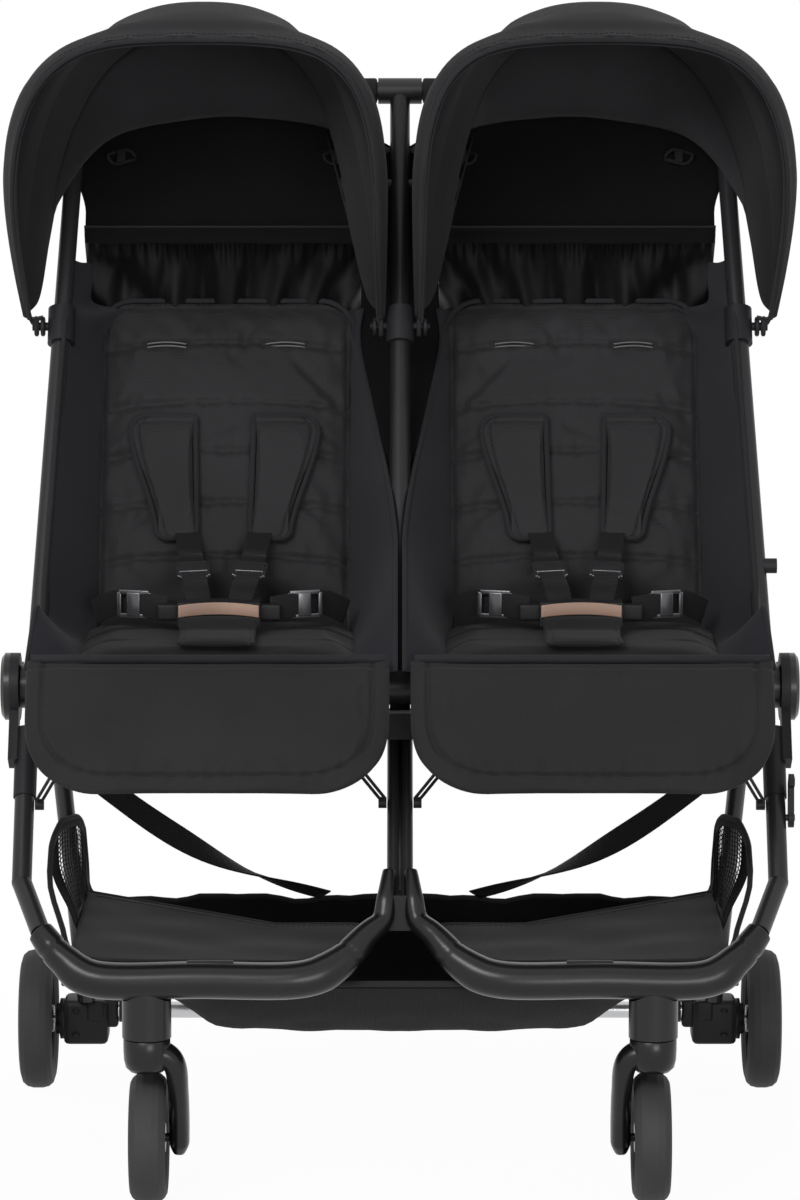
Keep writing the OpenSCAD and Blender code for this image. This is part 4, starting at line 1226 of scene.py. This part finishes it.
def crotch_form(x, y, z):
    """A sewn edge, flat faces, and a rise to the buckle at the rear end."""
    seam = groove(35 - abs(x) - 5, 0.8, 1.8) if z > 0 else 0.0
    rise = CROTCH_RISE * blend_rise((y - crotch_long + CROTCH_RUN) / CROTCH_RUN)
    return seam - max(0.0, z - 3.9) + max(0.0, -z - 3.7) + rise


stuffed(crotch, 1.5, 1, crotch_form)
settle(crotch, Matrix.Identity(4), SEAT_X, crotch_from, SEAT_Z + 4.3)
for obj, side in pair(crotch, "crotch_panel"):
    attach(obj, "front_frame")
    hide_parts("crotch_straps")


def patch_place(u, v):
    """A blank leather patch, arched over the front of the buckle."""
    x = 37.0 * (2 * u - 1)
    arch = 3.0 * (1 - (2 * u - 1) ** 2)
    z = BUCKLE_Z + 8.6 + 11.0 * v + arch
    y = BUCKLE_Y - 1.7 - 0.8 * math.sin(math.pi * v)
    return SEAT_X + x, y, z


patch, _ = cut_cloth("patch", patch_place, 41, 13, LEATHER, 1.2)
for obj, side in pair(patch, "buckle_patch"):
    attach(obj, "front_frame")


def slider(bits, path, at, width, length, thick):
    """A ladder slider on a strap: two rails, end bars and a middle bar."""
    p = np.array(path, float)
    run = np.concatenate([[0], np.cumsum(np.linalg.norm(np.diff(p, axis=0), axis=1))])
    spot = np.array([np.interp(at * run[-1], run, p[:, k]) for k in range(3)])
    ahead = np.array([np.interp(min(1, at + 0.05) * run[-1], run, p[:, k]) for k in range(3)])
    way = (ahead - spot) / np.linalg.norm(ahead - spot)
    side = np.array((1.0, 0.0, 0.0)) if abs(way[0]) < 0.8 else np.array((0.0, -0.5, 0.86))
    out = np.cross(side, way)
    out /= np.linalg.norm(out)
    if out[2] - out[1] < 0:
        out = -out
    side = np.cross(way, out)

    def place(q):
        return tuple(spot + side * q[0] + way * q[1] + out * q[2])

    w, h, t = width / 2, length / 2, thick / 2
    for s in (-1, 1):
        bits.rounded_box((s * w - 2.2, -h, -t), (s * w + 2.2, h, t), place, 1.1)
        bits.rounded_box((-w, s * h - 2.4, -t), (w, s * h + 2.4, t), place, 1.1)
    bits.rounded_box((-w, -0.5 * h, 0.2), (w, 0.74 * h, t + 1.2), place, 1.0)


STRAP_W, STRAP_T = 23.0, 1.7
SHINY = hard("slider_metal", (0.085, 0.085, 0.09), 0.2, spread=0.04, height=0.00001, metal=0.7, shine=0.5)
# Index of the path point where a shoulder strap is split into its lower piece and its top piece
STRAP_SPLIT = 19
shoulder_straps, strap_tops, sliders = Bits(), Bits(), Bits()
for side in (-1, 1):
    low = (SEAT_X + side * 19, BUCKLE_Y + 22, BUCKLE_Z + BUCKLE_H - 2)
    high = back_plane((SEAT_X + side * 35, PAD_FROM + 10, PAD_OUT - 1.0))
    mid = [low[k] * 0.5 + high[k] * 0.5 for k in range(3)]
    path = smooth_path([low, (low[0] + side * 3, low[1] + 12, low[2] + 12),
                        (mid[0], mid[1] + 3, mid[2] - 4), high], 8)
    across = np.cross((1.0, 0.0, 0.0), np.array(high) - np.array(low))
    across /= np.linalg.norm(across)
    shoulder_straps.add(*sweep_parts(path[:STRAP_SPLIT + 1], ribbon(STRAP_W, STRAP_T), up=across))
    strap_tops.add(*sweep_parts(path[STRAP_SPLIT:], ribbon(STRAP_W, STRAP_T), up=across))
    strap_mid = tuple(path[STRAP_SPLIT] * MM)
    slider(sliders, path, 0.5, STRAP_W + 4, 27, 4.2)
strap_low = (SEAT_X * MM, (BUCKLE_Y + 22) * MM, (BUCKLE_Z + BUCKLE_H) * MM)
strap_high = tuple(c * MM for c in back_plane((SEAT_X, PAD_FROM, PAD_OUT)))
strap_mid = (strap_low[0], *strap_mid[1:])
for bits, base, material, where in ((shoulder_straps, "shoulder_straps", BELT, "webbing"),
                                    (strap_tops, "shoulder_strap_tops", BELT, "webbing"),
                                    (sliders, "strap_sliders", SHINY, "gloss_black")):
    for obj, side in pair(bits.done(base, material), base):
        bodies, ends = ("front_frame", "seat_hinge_" + side), (strap_low, strap_mid)
        if base == "shoulder_strap_tops":
            bodies, ends = ("seat_hinge_" + side, "back_" + side), (strap_mid, strap_high)
        ends = [(SIGN[side] * x, y, z) for x, y, z in ends]
        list(bodies)
        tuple(ends[0])
        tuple(ends[1])
        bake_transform(obj)
        if where == "webbing":
            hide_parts("harness_straps")

waist, waist_parts, tongues = Bits(), Bits(), Bits()
for side in (-1, 1):
    path = smooth_path([(SEAT_X + side * 48, BUCKLE_Y + 16, BUCKLE_Z + 14),
                        (SEAT_X + side * 76, BUCKLE_Y + 26, BUCKLE_Z + 17),
                        (SEAT_X + side * 98, BUCKLE_Y + 44, BUCKLE_Z + 16),
                        (SEAT_X + side * 117, BUCKLE_Y + 62, BUCKLE_Z + 5)], 8)
    waist.add(*sweep_parts(path, [(b, a) for a, b in ribbon(STRAP_W, STRAP_T)], up=(0.0, 0.0, 1.0)))
    p = path[9]
    lean = 0.36 * side

    def place(q, p=p, lean=lean):
        x = p[0] + q[0] * math.cos(lean) - q[1] * 0.3 * lean
        return x, p[1] + q[1] + q[0] * lean * 0.8, p[2] + q[2]

    w, h = 15.0, 11.0
    for s in (-1, 1):
        waist_parts.rounded_box((s * w - 2.2, -2.6, -h), (s * w + 2.2, 2.6, h), place, 1.1)
        waist_parts.rounded_box((-w, -2.6, s * h - 2.2), (w, 2.6, s * h + 2.2), place, 1.1)
    waist_parts.rounded_box((-6, -3.8, -h), (7, 1.0, h), place, 1.1)
    low, high = sorted((side * 36.0, side * 57.0))
    tongues.rounded_box((SEAT_X + low, BUCKLE_Y + 9, BUCKLE_Z + 4),
                        (SEAT_X + high, BUCKLE_Y + 20, BUCKLE_Z + 19), None, 2.5)
for bits, base, material, where in ((waist, "waist_straps", BELT, "webbing"),
                                    (waist_parts, "waist_sliders", SHINY, "gloss_black"),
                                    (tongues, "buckle_tongues", MATT, "matt_black")):
    for obj, side in pair(bits.done(base, material), base):
        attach(obj, "front_frame")
        if where == "webbing":
            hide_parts("harness_straps")


# Elastic cords: each runs from the calf rest round its knob and back
CORD_R = 1.5
for near, far, base in (((35.7, -222.4, 392.4), (15.7, -138.6, 352.1), "calf_cord_inner"),
                        ((306.5, -222.4, 392.4), (328.5, -137.6, 350.1), "calf_cord_outer")):
    near, far = np.array(near), np.array(far)
    way = (far - near) / np.linalg.norm(far - near)
    across = np.cross(way, (0.0, 0.3, 1.0))
    across *= 2.6 / np.linalg.norm(across)
    span = np.linalg.norm(far - near)
    line = [near + across + way * (span - 4) * s for s in np.linspace(0, 1, 13)]
    line += [far - way * 4 + across * math.cos(b) + way * 2.6 * math.sin(b)
             for b in np.linspace(0, math.pi, 9)[1:-1]]
    line += [near - across + way * (span - 4) * s for s in np.linspace(1, 0, 13)]
    piece = Bits()
    piece.tube(line, CORD_R, 10)
    for obj, side in pair(piece.done(base, BELT), base):
        route = [(SIGN[side] * x * MM, y * MM, z * MM) for x, y, z in line]
        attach(obj, "front_frame")
        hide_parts("leg_rest_cords")
        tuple(route[0])
        length_of(line)


# Basket: a sagging tub hung between the footrest and the rear legs, with netting high in its sides
TUB_FRONT, TUB_REAR, TUB_Z = -243.0, 119.0, 131.0
TUB_END = 203.0
RIM = [(TUB_FRONT, TUB_END), (-205, 224), (-154, 262), (-100, 300), (-50, 316), (0, 311), (60, 288),
       (100, 248), (TUB_REAR, 211.0)]
TUB_SIDE = [(0.0, TUB_Z), (90.0, TUB_Z), (150.0, 132.0), (174.0, 136.0), (190.0, 147.0), (206.0, 160.0),
            (234.0, 175.0), (262.0, 190.0), (284.0, 204.0), (296.0, 214.0), (300.5, 230.0)]


# Share of the tub's length that is its floor, and where the netting starts and ends
FLOOR_T, NET_T = 0.66, (-0.62, 0.75)


def tub_place(s, t):
    """s runs from side to side and t from the front wall to the rear one."""
    half, mid = (TUB_REAR - TUB_FRONT) / 2, (TUB_REAR + TUB_FRONT) / 2
    wt = max(0.0, abs(t) - FLOOR_T) / 0.34
    lean = 0.22 if t < 0 else 0.94
    y = mid + half * (lean * t / FLOOR_T if wt == 0 else math.copysign(lean + (1 - lean) * wt ** 0.8, t))
    top = read_line(RIM, y)
    side = TUB_SIDE + [(300.5, max(top, 231.0))]
    run = np.concatenate([[0], np.cumsum([math.dist(a, b) for a, b in zip(side, side[1:])])])
    at = abs(s) * run[-1]
    x = float(np.interp(at, run, [a for a, b in side]))
    z = float(np.interp(at, run, [b for a, b in side]))
    sag = 3.5 * (1 - min(1.0, (x / 190) ** 2)) * (1 - t * t) + 1.2 * ruffle(x, y * 1.6, 6.0) * (z < 200)
    z -= sag * (1 - wt)
    end = TUB_END if t < 0 else 209.5 + 2.6 * math.sin(0.043 * x + 0.8) + 1.6 * math.sin(0.11 * x)
    z = min(max(z, z + (end - z) * wt ** 1.1), max(top, TUB_END))
    slack = 2.5 * math.sin(math.pi * abs(s)) * math.sin(0.045 * y)
    x += 20.0 * blend_rise((z - 222) / 60) * blend_rise((30 - y) / 130) * (x > 280)
    return math.copysign(max(0.0, x - abs(slack) * (x > 60)), s), y, max(z, 124.0)


def in_net(s, y):
    return 0.80 < abs(s) < 0.985 and -178 < y < 78


tub_s = np.linspace(-1, 1, 97)
tub_t = np.concatenate([np.linspace(-1, -FLOOR_T, 13)[:-1], np.linspace(-FLOOR_T, FLOOR_T, 41),
                        np.linspace(FLOOR_T, 1, 13)[1:]])
tub = grid("basket_tub", tub_place, tub_s, tub_t, BASKET)
bm = bmesh.new()
bm.from_mesh(tub.data)
gone = []
for f in bm.faces:
    s = np.mean([tub_s[v.index % len(tub_s)] for v in f.verts])
    if in_net(s, f.calc_center_median().y / MM):
        gone.append(f)
bmesh.ops.delete(bm, geom=gone, context="FACES")
bm.to_mesh(tub.data)
bm.free()
thicken(tub, 1.6)


def tub_piece(obj):
    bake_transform(obj)


tub_piece(tub)
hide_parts("basket")
net = grid("net", lambda t, s: tub_place(s, t), np.linspace(*NET_T, 46), np.linspace(0.79, 0.99, 21), BASKET)
wire = net.modifiers.new("wire", "WIREFRAME")
wire.thickness = 1.1 * MM
deps = bpy.context.evaluated_depsgraph_get()
net_mesh = bpy.data.meshes.new_from_object(net.evaluated_get(deps))
net.modifiers.clear()
net.data = net_mesh
for obj, side in pair(net, "basket_net"):
    tub_piece(obj)
hem = Bits()
rim_path = [tub_place(1, t) for t in np.linspace(-1, 1, 60)]
rim_path += [tub_place(s, 1) for s in np.linspace(1, -1, 50)[1:]]
rim_path += [tub_place(-1, t) for t in np.linspace(1, -1, 60)[1:]]
rim_path += [tub_place(s, -1) for s in np.linspace(-1, 1, 50)[1:-1]]
hem.tube(rim_path, 2.6, closed=True)
for side in (1, -1):
    loop = [tub_place(side * 0.795, t) for t in np.linspace(*NET_T, 30)]
    hem.tube(loop, 1.8, 6)
tub_piece(hem.done("basket_binding", PIPING))


# Foot cloths: a sheet from each footrest bar back over the front of the basket
FOOT_IN, FOOT_OUT, FOOT_Z = 34.0, 296.0, 227.5
FOOT_FRONT = [(FOOT_IN, -206.5), (74, -233.5), (92, -244.5), (262, -244.5), (FOOT_OUT, -227.5)]
FOOT_REAR = [(FOOT_IN, -119.5), (45, -113.5), (115, -110.5), (225, -9.5), (FOOT_OUT, 54.5)]


def foot_cloth_place(u, v):
    x = FOOT_IN + (FOOT_OUT - FOOT_IN) * u
    a, b = read_line(FOOT_FRONT, x), read_line(FOOT_REAR, x)
    y = a + (b - a) * v
    sag = (5.0 * math.sin(math.pi * u) + 1.3 * ruffle(0.7 * x, y, 9.0)) * math.sin(math.pi * v)
    return x, y, FOOT_Z - sag + 3.0 * v * (1 - u) - 4.0 * (1 - v) ** 4


foot_cloth, foot_area = cut_cloth("foot_cloth", foot_cloth_place, 61, 25, FOOTING, 1.6)
for obj, side in pair(foot_cloth, "foot_cloth"):
    tub_piece(obj)
    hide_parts("footwell_cloths")
foot_hem = Bits()
foot_hem.tube([foot_cloth_place(u, 1.0) for u in np.linspace(0, 1, 60)], 2.2)
foot_hem.stitches([np.array(foot_cloth_place(u, 0.95)) + (0, 0, 1.0)
                   for u in np.linspace(0.02, 0.98, 60)])
for obj, side in pair(foot_hem.done("foot_hem", PIPING), "foot_cloth_hem"):
    tub_piece(obj)

# Basket straps: webbing that turns over once on its way down to the basket's rear edge
belt_top, belt_low = np.array((302.0, -9.5, 362.0)), np.array((72.0, 106.0, 215.0))
BELT_SAG = 20
belt = []
for s in np.linspace(0, 1, 33):
    p = belt_top + (belt_low - belt_top) * s
    p[2] -= BELT_SAG * math.sin(math.pi * s)
    belt.append(p)
p, tan, aside, ups = frames_along(belt, up=(0.0, -0.75, 0.66))
belt_section = ribbon(22, STRAP_T)
points = []
for i, s in enumerate(np.linspace(0, 1, len(belt))):
    twist = 0.9 - 2.3 * blend_rise((s - 0.15) / 0.8)
    wide = aside[i] * math.cos(twist) + ups[i] * math.sin(twist)
    thick = ups[i] * math.cos(twist) - aside[i] * math.sin(twist)
    points += [p[i] + wide * a + thick * b for a, b in belt_section]
basket_belt = Bits()
basket_belt.add(points, skin(len(belt), len(belt_section)))
for obj, side in pair(basket_belt.done("belt", BELT), "basket_strap"):
    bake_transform(obj)
    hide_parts("basket_straps")


# Foam grips with rounded, slightly swelled ends
GRIP_FROM, GRIP_TO = 22.0, 297.5
grip_long = GRIP_TO - GRIP_FROM
grip_end = [(9.2, 0.0), (10.6, 0.0), (11.9, 0.8), (12.5, 2.4), (12.4, 9.0)]
grip = grip_end + [(12.35 + 0.12 * math.sin(x * 0.21), x) for x in np.linspace(16, 259.5, 60)]
grip += [(r, grip_long - x) for r, x in reversed(grip_end)]
for obj, side in pair(make("grip", *turning(grip, (GRIP_FROM, *BAR), axis=0), FOAM), "foam_grip"):
    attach(obj, "handle")
    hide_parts("handle_grips")


# Floor, light and camera
def seen_rays(n, l):
    """1 for rays from the camera, from a glossy surface or through a clear one."""
    rays = n.new("ShaderNodeLightPath")
    last = rays.outputs["Is Camera Ray"]
    for kind in ("Is Glossy Ray", "Is Transmission Ray"):
        most = node(n, "ShaderNodeMath", operation="MAXIMUM")
        l.new(last, most.inputs[0])
        l.new(rays.outputs[kind], most.inputs[1])
        last = most.outputs["Value"]
    return last


def stage_floor():
    """A pale floor that keeps the shadow near the wheels and fades to white further out."""
    m, n, l, b = shader("pale_floor")
    where = n.new("ShaderNodeTexCoord").outputs["Object"]
    tone = toned(n, l, noise(n, l, where, 3.0, 3.0), [(0.0, (0.88, 0.88, 0.88)), (1.0, (0.91, 0.91, 0.91))])
    l.new(tone, b.inputs["Base Color"])
    b.inputs["Roughness"].default_value = 0.9
    b.inputs["Specular IOR Level"].default_value = 0.1
    glow = n.new("ShaderNodeEmission")
    away = node(n, "ShaderNodeVectorMath", operation="LENGTH")
    l.new(where, away.inputs[0])
    fade = ranged(n, l, away.outputs["Value"], from_min=0.35, from_max=0.95, to_min=0.965)
    share = node(n, "ShaderNodeMath", operation="MULTIPLY")
    l.new(fade, share.inputs[0])
    l.new(seen_rays(n, l), share.inputs[1])
    mix = n.new("ShaderNodeMixShader")
    l.new(share.outputs["Value"], mix.inputs[0])
    l.new(b.outputs["BSDF"], mix.inputs[1])
    l.new(glow.outputs["Emission"], mix.inputs[2])
    l.new(mix.outputs["Shader"], n["Material Output"].inputs["Surface"])
    far = 6000
    floor = make("floor", [(-far, -far, 0), (far, -far, 0), (far, far, 0), (-far, far, 0)], [(0, 1, 2, 3)], m,
                 smooth=False)
    floor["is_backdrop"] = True


stage_floor()
world = bpy.data.worlds.new("studio")
scene.world = world
world.use_nodes = True
wn, wl = world.node_tree.nodes, world.node_tree.links
level = ranged(wn, wl, seen_rays(wn, wl), to_min=0.34, to_max=1.0)
wl.new(level, wn["Background"].inputs["Strength"])
wn["Background"].inputs["Color"].default_value = (1, 1, 1, 1)


def lamp(name, at, aim, size, watts):
    data = bpy.data.lights.new(name, "AREA")
    data.shape = "RECTANGLE"
    data.size, data.size_y = size
    data.energy = watts
    obj = bpy.data.objects.new(name, data)
    scene.collection.objects.link(obj)
    obj.location = at
    obj.rotation_euler = (Vector(aim) - Vector(at)).to_track_quat("-Z", "Y").to_euler()


lamp("key", (-1.5, -3.5, 2.8), (0, 0, 0.6), (2.0, 1.4), 98)
lamp("fill", (1.1, -4.2, 0.95), (0, 0, 0.75), (1.8, 1.2), 50)
lamp("top", (0, 0.2, 3.4), (0, 0, 0.5), (2.4, 1.8), 5)

# Degrees below level
CAMERA_DOWN = 8.0
camera = bpy.data.objects.new("camera", bpy.data.cameras.new("camera"))
scene.collection.objects.link(camera)
scene.camera = camera
camera.data.sensor_width = 36.0
camera.data.lens = 156.0
camera.location = (0.0, -4.7995, 1.19)
camera.rotation_euler = (math.radians(90.0 - CAMERA_DOWN), 0, 0)
scene.view_settings.view_transform = "Standard"

low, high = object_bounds()
{"cad": [list(cad_low), list(cad_high)], "visual": [list(low), list(high)]}
